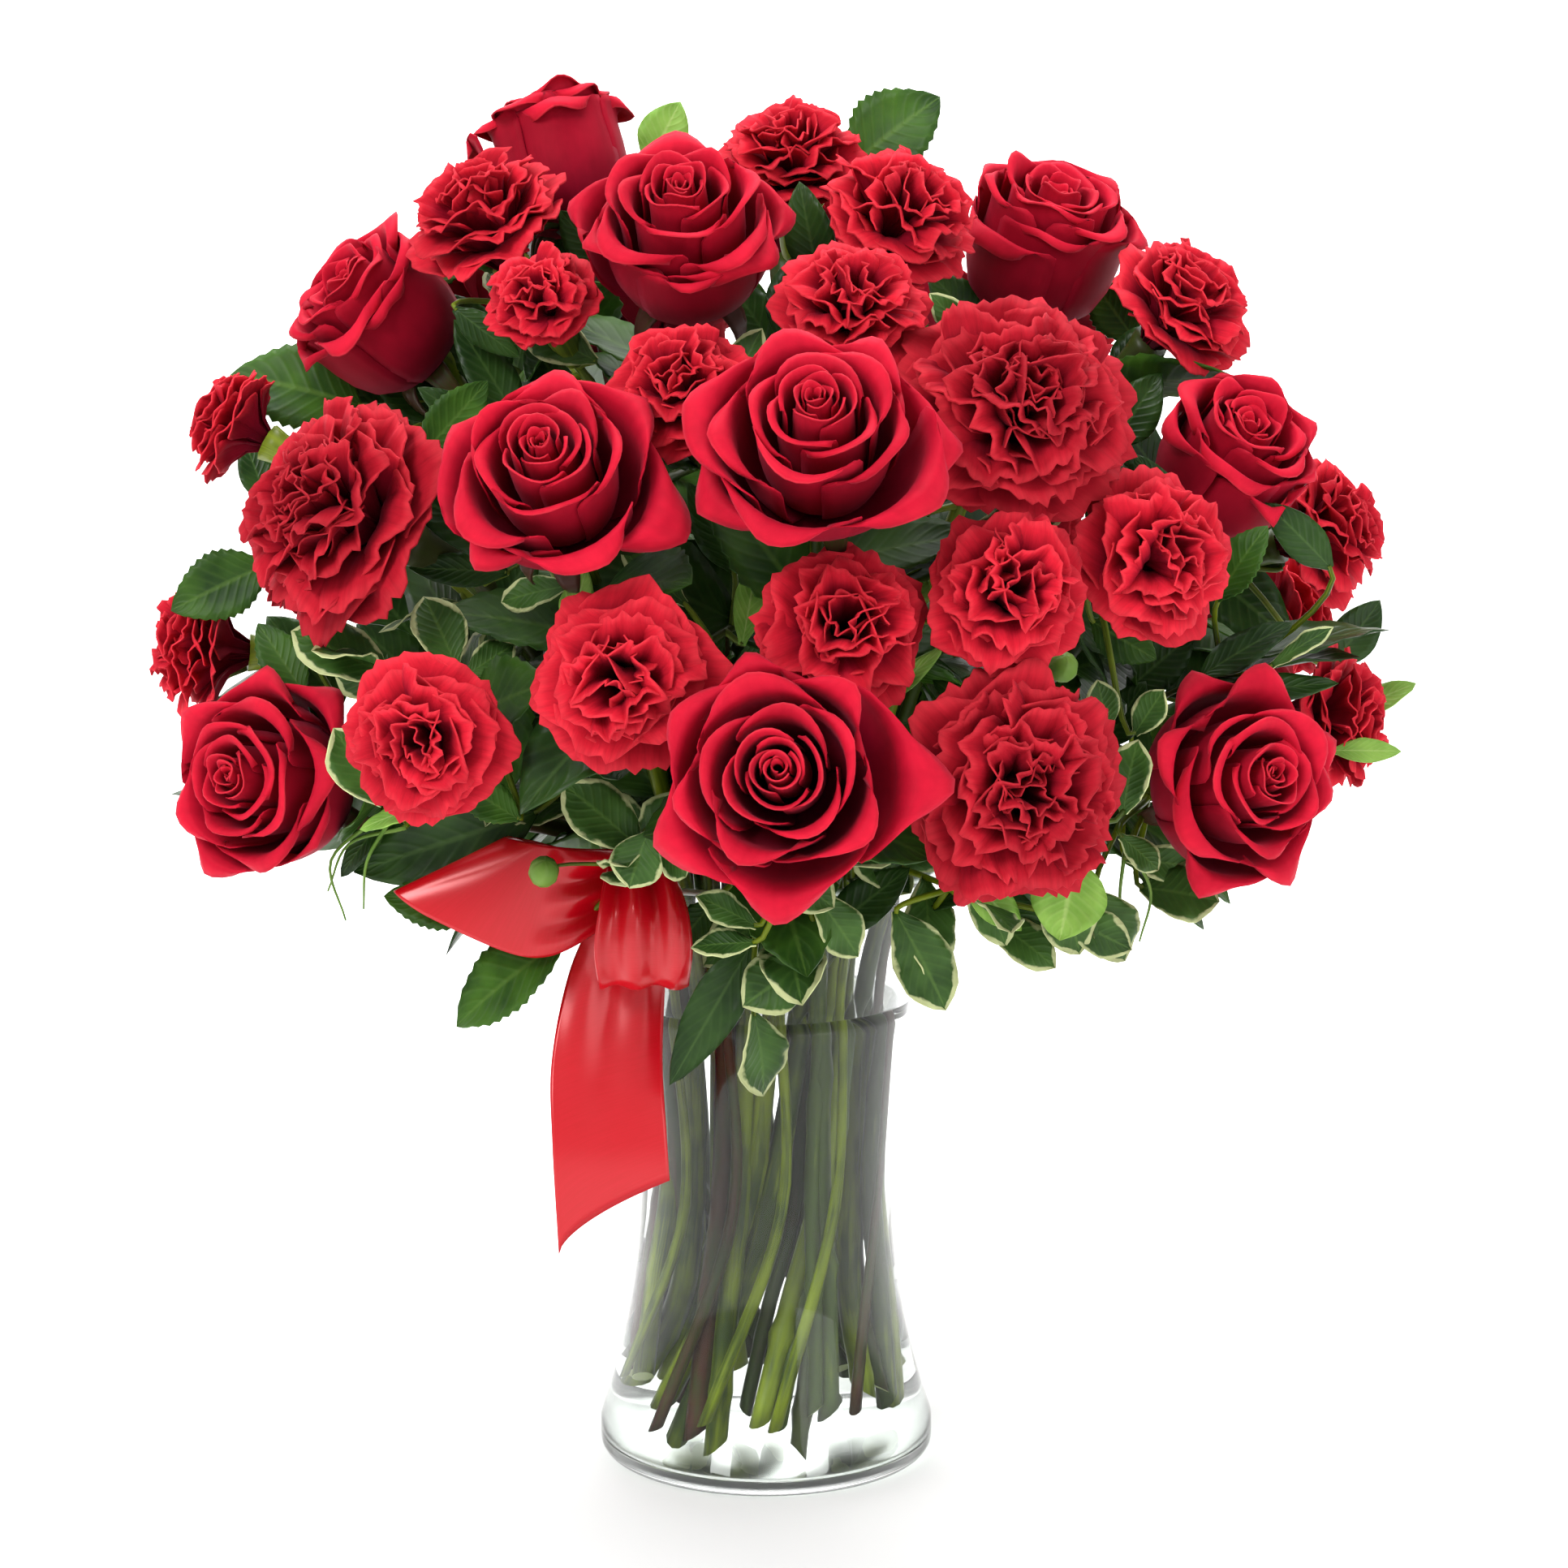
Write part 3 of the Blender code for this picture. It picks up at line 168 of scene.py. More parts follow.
# %% Shells and round solids


def quads(number):
    """The faces of a grid of point numbers, each from a point and its three neighbours further on."""
    corners = [number[:-1, :-1], number[1:, :-1], number[1:, 1:], number[:-1, 1:]]
    return np.stack(corners, axis=-1).reshape(-1, 4)


def grid_normals(grids):
    """The cross product of the steps along the rows and along the columns, for a stack of grids."""
    along = np.gradient(grids, axis=1)
    across = np.gradient(grids, axis=2)
    normals = np.cross(along, across)
    length = np.linalg.norm(normals, axis=-1, keepdims=True)
    return normals / np.maximum(length, 1e-12)


def shells(grids, thickness, tones, finish=0, behind=1.0):
    """Closed thin shells from a stack of grids (count, rows, columns, 3).

    UV is (share across, share along), tone is one number for each shell, and behind is what the tone
    is multiplied by on the back. The band round the border is flat-shaded, so that the rim stays thin.
    """
    count, rows, columns, _ = grids.shape
    lift = grid_normals(grids) * 0.5 * thickness
    points = np.stack([grids + lift, grids - lift], axis=1)
    number = np.arange(rows * columns).reshape(rows, columns)
    front = quads(number)
    back = front[:, ::-1] + rows * columns
    rim = np.concatenate([number[:-1, 0], number[-1, :-1], number[:0:-1, -1], number[0, :0:-1]])
    after = np.roll(rim, -1)
    band = np.stack([after, rim, rim + rows * columns, after + rows * columns], axis=-1)
    starts = (np.arange(count) * 2 * rows * columns)[:, None, None]
    sheets, bands = ((one[None] + starts).reshape(-1, 4) for one in (np.vstack([front, back]), band))
    u, v = np.meshgrid(np.linspace(0, 1, columns), np.linspace(0, 1, rows))
    uv = np.tile(np.stack([u, v], axis=-1).reshape(-1, 2), (2 * count, 1))
    tone = np.asarray(tones, dtype=float)[:, None] * (1.0, behind)
    return dict(points=points.reshape(-1, 3), uv=uv, tone=np.repeat(tone, rows * columns, axis=1).ravel(),
                faces=[(sheets, finish), (bands, finish)], thin=True)


def round_solid(rings, round_shares, along, tone=1.0):
    """A closed solid from rings of points (rows, sides, 3), with a flat face over each end.

    UV is (share round, measure along). Its faces come in three lots: the walls, the first end, the last.
    """
    rows, sides, _ = rings.shape
    number = np.arange(rows * sides).reshape(rows, sides)
    after = np.roll(number, -1, axis=1)
    walls = np.stack([number[:-1], after[:-1], after[1:], number[1:]], axis=-1).reshape(-1, 4)
    uv = np.stack([np.tile(round_shares, (rows, 1)), np.tile(along[:, None], sides)], axis=-1)
    return dict(points=rings.reshape(-1, 3), uv=uv.reshape(-1, 2), tone=np.full(rows * sides, tone),
                faces=[(walls, 0), (number[0][::-1][None], 0), (number[-1][None], 0)])


def piece(name, solids, finishes, slot=None, stands_for=()):
    """One object from several solids, riding on the frame, with UVs, tones and a finish for each solid."""
    starts = np.cumsum([0] + [len(solid["points"]) for solid in solids])
    loops, sizes, surfaces, smooth = [], [], [], []
    for solid, start in zip(solids, starts):
        for number, (faces, finish) in enumerate(solid["faces"]):
            smooth.append(np.full(len(faces), not (solid.get("thin", False) and number == 1)))
            loops.append((faces + start).ravel())
            sizes.append(np.full(len(faces), faces.shape[1]))
            surfaces.append(np.full(len(faces), finish))
    loops, sizes = np.concatenate(loops), np.concatenate(sizes)
    points = np.vstack([solid["points"] for solid in solids])
    mesh = bpy.data.meshes.new(name)
    mesh.vertices.add(len(points))
    mesh.vertices.foreach_set("co", points.astype(np.float32).ravel())
    mesh.loops.add(len(loops))
    mesh.loops.foreach_set("vertex_index", loops.astype(np.int32))
    mesh.polygons.add(len(sizes))
    mesh.polygons.foreach_set("loop_start", np.concatenate([[0], np.cumsum(sizes)[:-1]]).astype(np.int32))
    mesh.polygons.foreach_set("material_index", np.concatenate(surfaces).astype(np.int32))
    mesh.update(calc_edges=True)
    mesh.polygons.foreach_set("use_smooth", np.concatenate(smooth))
    uv = np.vstack([solid["uv"] for solid in solids])
    layer = mesh.uv_layers.new(name="UVMap")
    layer.data.foreach_set("uv", uv[loops].astype(np.float32).ravel())
    tone = mesh.attributes.new("tone", "FLOAT", "POINT")
    tone.data.foreach_set("value", np.concatenate([solid["tone"] for solid in solids]).astype(np.float32))
    for finish in finishes:
        mesh.materials.append(finish)
    made = new_object(name, mesh)
    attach(made, "root")
    if stands_for:
        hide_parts(*stands_for)
    return made


# %% [markdown]
# The blooms are set on a dome, and each keeps the place and the way it faces that the solids have. The
# list below is the florist's plan: the name of each bloom, its kind, its place on the dome, its size,
# the way it faces, and the bunch of stems or the three-flowered spray that carries it. The places are
# then eased apart so that no two blooms share the same space, by the same rule as in the solids.

# %% Plan of the blooms
DOME_CENTRE = np.array([0.0, 0.0, 0.262])
# Name, kind, azimuth and elevation on the dome in degrees, distance from its centre and width in
# millimetres, azimuth and elevation of the way it faces, and its bunch or spray
BLOOMS = [
    ("rose_top_left", "rose", 170, 68, 180, 68, 130, 66, "rose_stems_left"),
    ("rose_top", "rose", -107, 60, 167, 73, -96, 46, "rose_stems_front"),
    ("rose_top_right", "rose", 4, 57, 168, 76, -62, 60, "rose_stems_right"),
    ("rose_upper_left", "rose", -176, 43, 173, 71, -150, 38, "rose_stems_left"),
    ("rose_mid_left", "rose", -113, 26, 173, 70, -101, 34, "rose_stems_left"),
    ("rose_mid", "rose", -84, 28, 177, 75, -92, 36, "rose_stems_front"),
    ("rose_right", "rose", -19, 26, 172, 68, -55, 44, "rose_stems_right"),
    ("rose_front", "rose", -88, -1, 182, 77, -96, 10, "rose_stems_front"),
    ("rose_low_left", "rose", -154, -8, 174, 71, -125, 8, "rose_stems_left"),
    ("rose_low_right", "rose", -33, -7, 174, 71, -58, 10, "rose_stems_front"),
    ("rose_back_high", "rose", 72, 42, 174, 72, 74, 44, "rose_stems_right"),
    ("rose_back_low", "rose", 92, 14, 174, 72, 92, 20, "rose_stems_right"),
    ("carnation_mid_right", "standard", -58, 34, 170, 73, -74, 30, "carnation_stems_front"),
    ("carnation_left", "standard", -143, 21, 172, 75, -140, 22, "carnation_stems_left"),
    ("carnation_low_right", "standard", -65, -4, 174, 71, -75, 4, "carnation_stems_front"),
    ("carnation_back_left", "standard", 112, 42, 166, 70, 112, 42, "carnation_stems_back"),
    ("carnation_back_right", "standard", 28, 12, 170, 70, 28, 16, "carnation_stems_back"),
    ("carnation_back_low", "standard", 156, 14, 168, 70, 156, 16, "carnation_stems_left"),
    ("mini_top", "mini", -60, 84, 168, 50, -90, 62, "spray_top"),
    ("mini_top_right", "mini", -50, 66, 163, 53, -54, 44, "spray_top"),
    ("mini_crown", "mini", 84, 64, 164, 50, 84, 62, "spray_top"),
    ("mini_top_left", "mini", -158, 58, 176, 54, -128, 56, "spray_top_left"),
    ("mini_under_top_left", "mini", -132, 51, 160, 36, -112, 40, "spray_top_left"),
    ("mini_mid_left", "mini", -102, 39, 158, 46, -104, 40, "spray_top_left"),
    ("mini_mid_top", "mini", -76, 49, 164, 48, -82, 40, "spray_front"),
    ("mini_front_left", "mini", -104, 7, 166, 55, -96, 10, "spray_front"),
    ("mini_front", "mini", -82, 13, 160, 53, -84, 22, "spray_front"),
    ("mini_front_right", "mini", -64, 15, 168, 50, -74, 20, "spray_right"),
    ("mini_right_front", "mini", -45, 17, 172, 53, -60, 14, "spray_right"),
    ("mini_upper_right", "mini", -8, 42, 180, 50, -40, 42, "spray_right"),
    ("mini_far_right", "mini", -4, 15, 188, 50, -28, 20, "spray_far_right"),
    ("mini_right_low", "mini", 14, 4, 182, 46, 10, 8, "spray_far_right"),
    ("mini_far_right_low", "mini", -12, -3, 186, 48, -24, 0, "spray_far_right"),
    ("mini_far_left", "mini", -172, 26, 190, 38, 172, 28, "spray_left"),
    ("mini_low_far_left", "mini", -176, 3, 184, 47, -168, 6, "spray_left"),
    ("mini_low_left", "mini", -124, 0, 176, 50, -102, 4, "spray_left"),
    ("mini_back_top_right", "mini", 34, 46, 170, 50, 34, 44, "spray_back_right"),
    ("mini_back_right", "mini", 56, 14, 170, 50, 56, 18, "spray_back_right"),
    ("mini_back_low_right", "mini", 62, -9, 166, 50, 62, 0, "spray_back_right"),
    ("mini_back_top_left", "mini", 148, 44, 172, 50, 148, 42, "spray_back_left"),
    ("mini_back_left", "mini", 124, 18, 170, 50, 124, 20, "spray_back_left"),
    ("mini_back_low_left", "mini", 122, -10, 166, 50, 122, 0, "spray_back_left"),
]
HEAD_HEIGHT = {"rose": 0.66, "standard": 0.62, "mini": 0.66}
CENTRE_LEVEL = 0.58
BLOOM_TOUCH = 0.43
SETTLE_EASE, SETTLE_PUSH, SETTLE_HOME = np.array([0.8, 1.7, 0.8]), 0.35, 0.01


def unit(vector):
    return vector / max(np.linalg.norm(vector), 1e-12)


def direction(azimuth, elevation):
    """Unit vector at an azimuth and an elevation in degrees."""
    a, e = math.radians(azimuth), math.radians(elevation)
    return np.array([math.cos(e) * math.cos(a), math.cos(e) * math.sin(a), math.sin(e)])


def frame_about(axis, hint=UP):
    """Two unit vectors square to the axis, the second as near the hint as it can be."""
    axis = unit(axis)
    side = np.cross(hint, axis)
    if np.linalg.norm(side) < 1e-3:
        side = np.cross(np.array([0.0, 1.0, 0.0]), axis)
    side = unit(side)
    return side, np.cross(axis, side)


def settle(homes, radii, rounds=120):
    """Eases the bloom centres apart until each pair is clear, more in depth than across the front."""
    places = homes.copy()
    for _ in range(rounds):
        away = places[:, None] - places[None]
        distance = np.linalg.norm(away, axis=2) + np.eye(len(places))
        short = np.clip(radii[:, None] + radii[None] - distance, 0.0, None) * (1.0 - np.eye(len(places)))
        shift = (away / distance[..., None] * short[..., None]).sum(axis=1) * SETTLE_PUSH
        places = places + shift * SETTLE_EASE + (homes - places) * SETTLE_HOME
    return places


def find_heads():
    """Each bloom's centre, facing, size and seat, after the blooms have settled."""
    homes = np.array([DOME_CENTRE + direction(b[2], b[3]) * b[4] * MM for b in BLOOMS])
    centres = settle(homes, np.array([BLOOM_TOUCH * b[5] * MM for b in BLOOMS]))
    heads = {}
    for number, (bloom, centre) in enumerate(zip(BLOOMS, centres)):
        name, kind, bunch = bloom[0], bloom[1], bloom[8]
        size, facing = bloom[5] * MM, direction(*bloom[6:8])
        height = HEAD_HEIGHT[kind] * size
        heads[name] = dict(name=name, kind=kind, centre=centre, facing=facing, size=size, height=height,
                           base=centre - facing * CENTRE_LEVEL * height, bunch=bunch, number=number)
    return heads


heads = find_heads()
drift = []
for head in heads.values():
    low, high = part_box(head["name"])
    middle = 0.5 * (np.array(low) + np.array(high))
    drift.append(np.linalg.norm(middle - head["centre"]))
print("blooms", len(heads), "furthest box middle from its plan place", round(max(drift) * 1000, 1), "mm")

# %% [markdown]
# Finishes are node trees built by a few small helpers. One fixed number that holds all over a surface
# goes straight on the shader's own socket; only what varies over the surface is wired to it.

# %% Helpers for finishes
BUMP_DEPTH = 0.0004


def new_finish(name, **values):
    """A material whose Principled shader gets the given values straight on its sockets."""
    made = bpy.data.materials.new(name)
    made.use_nodes = True
    shader = made.node_tree.nodes["Principled BSDF"]
    for socket, value in values.items():
        shader.inputs[socket.replace("_", " ")].default_value = value
    return made, made.node_tree, shader


def add(tree, kind, inputs=None, **settings):
    """A node with settings, and with inputs that are either values or sockets to link."""
    made = tree.nodes.new(kind)
    for name, value in settings.items():
        setattr(made, name, value)
    for name, value in (inputs or {}).items():
        if isinstance(value, bpy.types.NodeSocket):
            tree.links.new(value, made.inputs[name])
        else:
            made.inputs[name].default_value = value
    return made


def ramp(tree, factor, stops):
    """A colour ramp from (place, colour) stops."""
    made = tree.nodes.new("ShaderNodeValToRGB")
    tree.links.new(factor, made.inputs["Fac"])
    band = made.color_ramp
    band.interpolation = "EASE"
    while len(band.elements) < len(stops):
        band.elements.new(0.5)
    for element, (place, colour) in zip(band.elements, stops):
        element.position = place
        element.color = (*colour, 1.0) if len(colour) == 3 else colour
    return made.outputs["Color"]


def mix(tree, factor, low, high):
    """Two colours mixed by a factor."""
    made = tree.nodes.new("ShaderNodeMix")
    made.data_type = "RGBA"
    for socket, value in zip((made.inputs[0], made.inputs[6], made.inputs[7]), (factor, low, high)):
        if isinstance(value, bpy.types.NodeSocket):
            tree.links.new(value, socket)
        else:
            socket.default_value = value
    return made.outputs[2]


def scaled(tree, vector, scale):
    """A vector with its parts scaled each by its own share."""
    return add(tree, "ShaderNodeMapping", {"Vector": vector, "Scale": scale}).outputs["Vector"]


def math_of(tree, how, first, second=0.0):
    """One number from two."""
    made = add(tree, "ShaderNodeMath", {0: first, 1: second}, operation=how)
    return made.outputs[0]


def noise(tree, vector, scale, detail, rough=0.5):
    """The value of a noise texture."""
    return add(tree, "ShaderNodeTexNoise", {"Vector": vector, "Scale": scale, "Detail": detail,
                                            "Roughness": rough}).outputs["Fac"]


def spread(tree, value, low, high, to_low=0.0, to_high=1.0):
    """A value carried from one range to another, and held at the ends."""
    return add(tree, "ShaderNodeMapRange", {"Value": value, "From Min": low, "From Max": high,
                                            "To Min": to_low, "To Max": to_high}).outputs["Result"]


def uv_of(tree):
    """The UV of the piece."""
    return add(tree, "ShaderNodeUVMap", uv_map="UVMap").outputs["UV"]


def surface_of(tree):
    """What a finish reads of its piece: the UV, the place in metres and the tone of a petal, leaf or stem."""
    place = add(tree, "ShaderNodeTexCoord").outputs["Object"]
    return uv_of(tree), place, add(tree, "ShaderNodeAttribute", attribute_name="tone").outputs["Fac"]


def coat(tree, shader, colour, strength, height, bump):
    """Wires a colour, made lighter or darker by a strength, and a bump from a height to the shader."""
    colour = add(tree, "ShaderNodeVectorMath", {0: colour, "Scale": strength}, operation="SCALE")
    tree.links.new(colour.outputs["Vector"], shader.inputs["Base Color"])
    raised = add(tree, "ShaderNodeBump", {"Height": height, "Strength": bump, "Distance": BUMP_DEPTH})
    tree.links.new(raised.outputs["Normal"], shader.inputs["Normal"])


# %% [markdown]
# A rose's petals leave the stem along a spiral: each stands about 137.5 degrees on from the last, and is
# a little smaller and further in, so that no two rims lie on one circle. The outer petals open and roll
# back at both sides, and their rims read as straight edges that meet in a pointed tip; the inner ones stand
# up round the bud and wind into each other. A petal is a surface of two numbers: v runs up its middle
# line, a smooth curve through six (radius, height) points, and u runs across it, where the line changes
# to a second one whose end is rolled under. Both lines are read between the stations of one table.

# %% Rose petals
# Stations from the outermost petal to the heart: half width in degrees, taper of the rim, then the middle
# line and the line at the petal's sides, as radius and height
ROSE_STATIONS = [
    (50, 0.46,
     [(0.10, 0.00), (0.52, 0.08), (0.75, 0.27), (0.84, 0.46), (0.98, 0.52), (1.15, 0.42)],
     [(0.10, 0.00), (0.51, 0.08), (0.73, 0.29), (0.80, 0.50), (0.84, 0.55), (0.78, 0.46)]),
    (52, 0.36,
     [(0.09, 0.02), (0.45, 0.12), (0.64, 0.36), (0.70, 0.60), (0.80, 0.71), (0.98, 0.68)],
     [(0.09, 0.02), (0.44, 0.12), (0.62, 0.37), (0.67, 0.62), (0.70, 0.71), (0.66, 0.63)]),
    (60, 0.26,
     [(0.08, 0.04), (0.36, 0.15), (0.50, 0.42), (0.54, 0.70), (0.59, 0.84), (0.72, 0.87)],
     [(0.08, 0.04), (0.35, 0.15), (0.49, 0.43), (0.52, 0.71), (0.55, 0.83), (0.53, 0.76)]),
    (66, 0.18,
     [(0.07, 0.06), (0.26, 0.18), (0.36, 0.46), (0.38, 0.74), (0.40, 0.88), (0.47, 0.93)],
     [(0.07, 0.06), (0.25, 0.18), (0.35, 0.47), (0.36, 0.75), (0.38, 0.86), (0.40, 0.82)]),
    (80, 0.12,
     [(0.06, 0.08), (0.19, 0.22), (0.25, 0.52), (0.25, 0.80), (0.25, 0.93), (0.28, 0.98)],
     [(0.06, 0.08), (0.18, 0.22), (0.24, 0.53), (0.23, 0.80), (0.23, 0.91), (0.25, 0.90)]),
    (95, 0.08,
     [(0.05, 0.10), (0.13, 0.26), (0.16, 0.56), (0.14, 0.82), (0.12, 0.94), (0.14, 0.99)],
     [(0.05, 0.10), (0.13, 0.26), (0.15, 0.57), (0.13, 0.82), (0.11, 0.92), (0.12, 0.94)]),
    (130, 0.02,
     [(0.02, 0.14), (0.06, 0.34), (0.08, 0.60), (0.06, 0.82), (0.04, 0.92), (0.05, 0.95)],
     [(0.02, 0.14), (0.06, 0.34), (0.07, 0.60), (0.05, 0.82), (0.04, 0.91), (0.04, 0.93)]),
]
HALF_CLOSED = {"rose_top_left": 0.85, "rose_top_right": 0.45, "rose_right": 0.45, "rose_upper_left": 0.45,
               "rose_top": 0.12}
# Where the outer petals' tips point on the roses that face the camera: degrees from the right, reach as a
# share of the bloom's radius, the outermost petal first
ROSE_TIPS = {
    "rose_top_left": [(-62, 1.30), (57, 1.02), (150, 1.06), (-30, 1.04), (100, 0.92)],
    "rose_top": [(161, 1.05), (16, 0.95), (-82, 0.92), (93, 0.88), (203, 0.90), (-32, 0.88)],
    "rose_mid": [(5, 1.02), (210, 0.95), (113, 0.97), (-34, 1.05), (247, 1.02), (59, 0.88), (170, 0.98)],
    "rose_mid_left": [(147, 1.08), (-20, 1.08), (233, 0.84), (48, 0.97), (-55, 1.0), (88, 0.86)],
    "rose_front": [(-1, 1.12), (207, 1.00), (106, 0.95), (269, 0.98), (150, 0.88), (50, 0.88)],
}
ROSE_PETALS, ROSE_ROWS, ROSE_COLUMNS = 25, 11, 13
GOLDEN_ANGLE = math.radians(137.5)
HEART_LEAN = 0.10
SHUT_IN, SHUT_UP = 0.36, 0.34
RIM_WAVE = 0.022
PETAL_THICK = 0.00045


def through_points(keys, count, crowd=1.0):
    """A smooth curve through evenly spaced keys (..., keys, parts): a Catmull-Rom cubic on each stretch.

    A crowd below one brings more of the points near the end.
    """
    first = 2.0 * keys[..., :1, :] - keys[..., 1:2, :]
    last = 2.0 * keys[..., -1:, :] - keys[..., -2:-1, :]
    padded = np.concatenate([first, keys, last], axis=-2)
    at = np.linspace(0.0, 1.0, count) ** crowd * (keys.shape[-2] - 1.0)
    k = np.minimum(at.astype(int), keys.shape[-2] - 2)
    t = (at - k)[:, None]
    a, b, c, d = (padded[..., k + step, :] for step in range(4))
    return 0.5 * (2 * b + (c - a) * t + (2 * a - 5 * b + 4 * c - d) * t**2 + (3 * b - a - 3 * c + d) * t**3)


def smooth_step(value, low, high):
    """Zero below low, one above high, and eased between them."""
    t = np.clip((value - low) / (high - low), 0.0, 1.0)
    return t * t * (3.0 - 2.0 * t)


def rose_petals(head, draw):
    """Petal grids for one rose about its own axis, in metres.

    Petal i stands i golden angles round the axis, at a level between two stations. Its radius and height
    go from the middle line to the side line by how far across a point is from the petal's own tip, and
    the inner petals lean up to the light. On a half closed rose the petals are drawn in and raised.
    """
    radius, height = 0.5 * head["size"], head["height"]
    start = random.Random(100 + head["number"]).uniform(0.0, math.tau)
    shut, tips = HALF_CLOSED.get(head["name"], 0.0), ROSE_TIPS.get(head["name"], [])
    sway = draw.uniform(-0.05, 0.05)
    u = np.linspace(-1.0, 1.0, ROSE_COLUMNS)[None, :]
    v = np.linspace(0.0, 1.0, ROSE_ROWS)[:, None] ** 0.8
    lines = np.array([station[2:] for station in ROSE_STATIONS])
    widths = np.array([station[:2] for station in ROSE_STATIONS])
    grids, tones = [], []
    for number in range(ROSE_PETALS):
        level = (len(ROSE_STATIONS) - 1) * (number / (ROSE_PETALS - 1)) ** 1.15
        low = min(int(level), len(ROSE_STATIONS) - 2)
        middle, sides = lines[low] + (level - low) * (lines[low + 1] - lines[low])
        half, taper = widths[low] + (level - low) * (widths[low + 1] - widths[low])
        inner = level / (len(ROSE_STATIONS) - 1)
        open_share = 1.0 - inner
        middle = middle + (sides - middle) * draw.uniform(-0.15, 0.45) * open_share
        tip = draw.uniform(-0.35, 0.35) * open_share
        across = np.abs(np.where(u > tip, (u - tip) / (1.0 - tip), (u - tip) / (1.0 + tip)))
        line, edge = (through_points(keys, ROSE_ROWS, 0.8)[:, None] for keys in (middle, sides))
        meridian = line + (edge - line) * across[..., None] ** (draw.uniform(0.9, 1.3) + inner)
        bigger, lift = draw.uniform(-0.06, 0.05), draw.uniform(-0.05, 0.05)
        fall = 0.04 * draw.standard_normal()
        points_to = start + GOLDEN_ANGLE * number + math.radians(draw.uniform(-7, 7))
        if number < len(tips):
            points_to = math.radians(tips[number][0])
            bigger = 1.06 * tips[number][1] / middle[-1, 0] - 1.0
        tuck = 0.03 + 0.12 * inner**2
        closed_in = 1.0 - SHUT_IN * shut * smooth_step(v, 0.0, 0.7)
        r = meridian[..., 0] * (1.0 + bigger * v) * (1.0 + tuck * u) * closed_in
        r = r + fall * open_share * v**3
        z = meridian[..., 1] * (1.0 + lift * open_share * v) - 1.2 * fall * open_share * v**3
        raised = shut * (1.0 - 0.15 * level) * SHUT_UP * smooth_step(v, 0.1, 0.8)
        z = z * (1.0 - SHUT_UP * shut * inner) + raised
        wave = draw.uniform(0.0, math.tau)
        rim = smooth_step(v, 0.45, 1.0)
        r = r + RIM_WAVE * rim * np.sin(3.4 * u + wave) * min(1.0, 1.4 * middle[-1, 0])
        z = z + RIM_WAVE * rim * np.sin(4.6 * u + 1.7 * wave)
        reach = math.radians(half) * (1.0 - taper * smooth_step(v, 0.62, 1.0))
        angle = points_to + (u - tip) * reach
        x = r * np.cos(angle) + sway * inner * v
        y = r * np.sin(angle) + HEART_LEAN * inner * v
        grids.append(np.stack([x * radius, y * radius, z * height], axis=-1))
        # The tone of the inner petals is lowered as painted shade deep in the cup; the random share is each
        # petal's own tone.
        tones.append(draw.uniform(0.90, 1.08) * (1.0 - 0.06 * inner))
    return np.array(grids), tones


# %% [markdown]
# A carnation is a cup of narrow claws that fan out into toothed, crumpled blades. The outer petals lie
# almost flat and wide. The inner ones stand up, are folded into deep curls and are twisted every way, so
# that their rims run in all directions and dark gaps open between them. v runs from claw to rim and u
# across the fan; the blade is bent into a curl, turned about its own middle line and waved, and each
# column of the grid ends a little short by its own chance, which pinks the edge.

# %% Carnation petals
# Tiers from the outside in: petals, half width of the blade, radius and height of the rim, droop of the
# rim, curl across the blade, twist of the blade in degrees, number and depth of the waves
STANDARD_TIERS = [
    (6, 0.72, 1.07, 0.50, 0.05, 0.6, 6, 1.7, 0.045),
    (6, 0.68, 0.98, 0.62, 0.04, 0.8, 14, 1.6, 0.055),
    (6, 0.60, 0.84, 0.76, 0.03, 1.2, 24, 1.4, 0.075),
    (7, 0.50, 0.67, 0.88, 0.02, 1.9, 40, 1.2, 0.095),
    (6, 0.42, 0.49, 0.96, 0.00, 2.4, 55, 1.4, 0.090),
    (5, 0.34, 0.31, 0.99, 0.00, 2.6, 70, 1.5, 0.080),
    (4, 0.26, 0.14, 0.98, 0.00, 2.8, 80, 1.5, 0.065),
]
MINI_TIERS = [
    (5, 0.78, 1.08, 0.52, 0.05, 0.6, 8, 1.6, 0.055),
    (6, 0.68, 0.93, 0.70, 0.04, 1.0, 18, 1.5, 0.070),
    (6, 0.56, 0.71, 0.86, 0.02, 1.7, 34, 1.3, 0.095),
    (5, 0.46, 0.46, 0.97, 0.00, 2.5, 52, 1.1, 0.105),
    (3, 0.36, 0.20, 1.00, 0.00, 3.0, 75, 1.0, 0.085),
]
STANDARD_GRID = (8, 25)
MINI_GRID = (6, 21)
TOOTH = 0.062
CLAW_OUT = 0.07


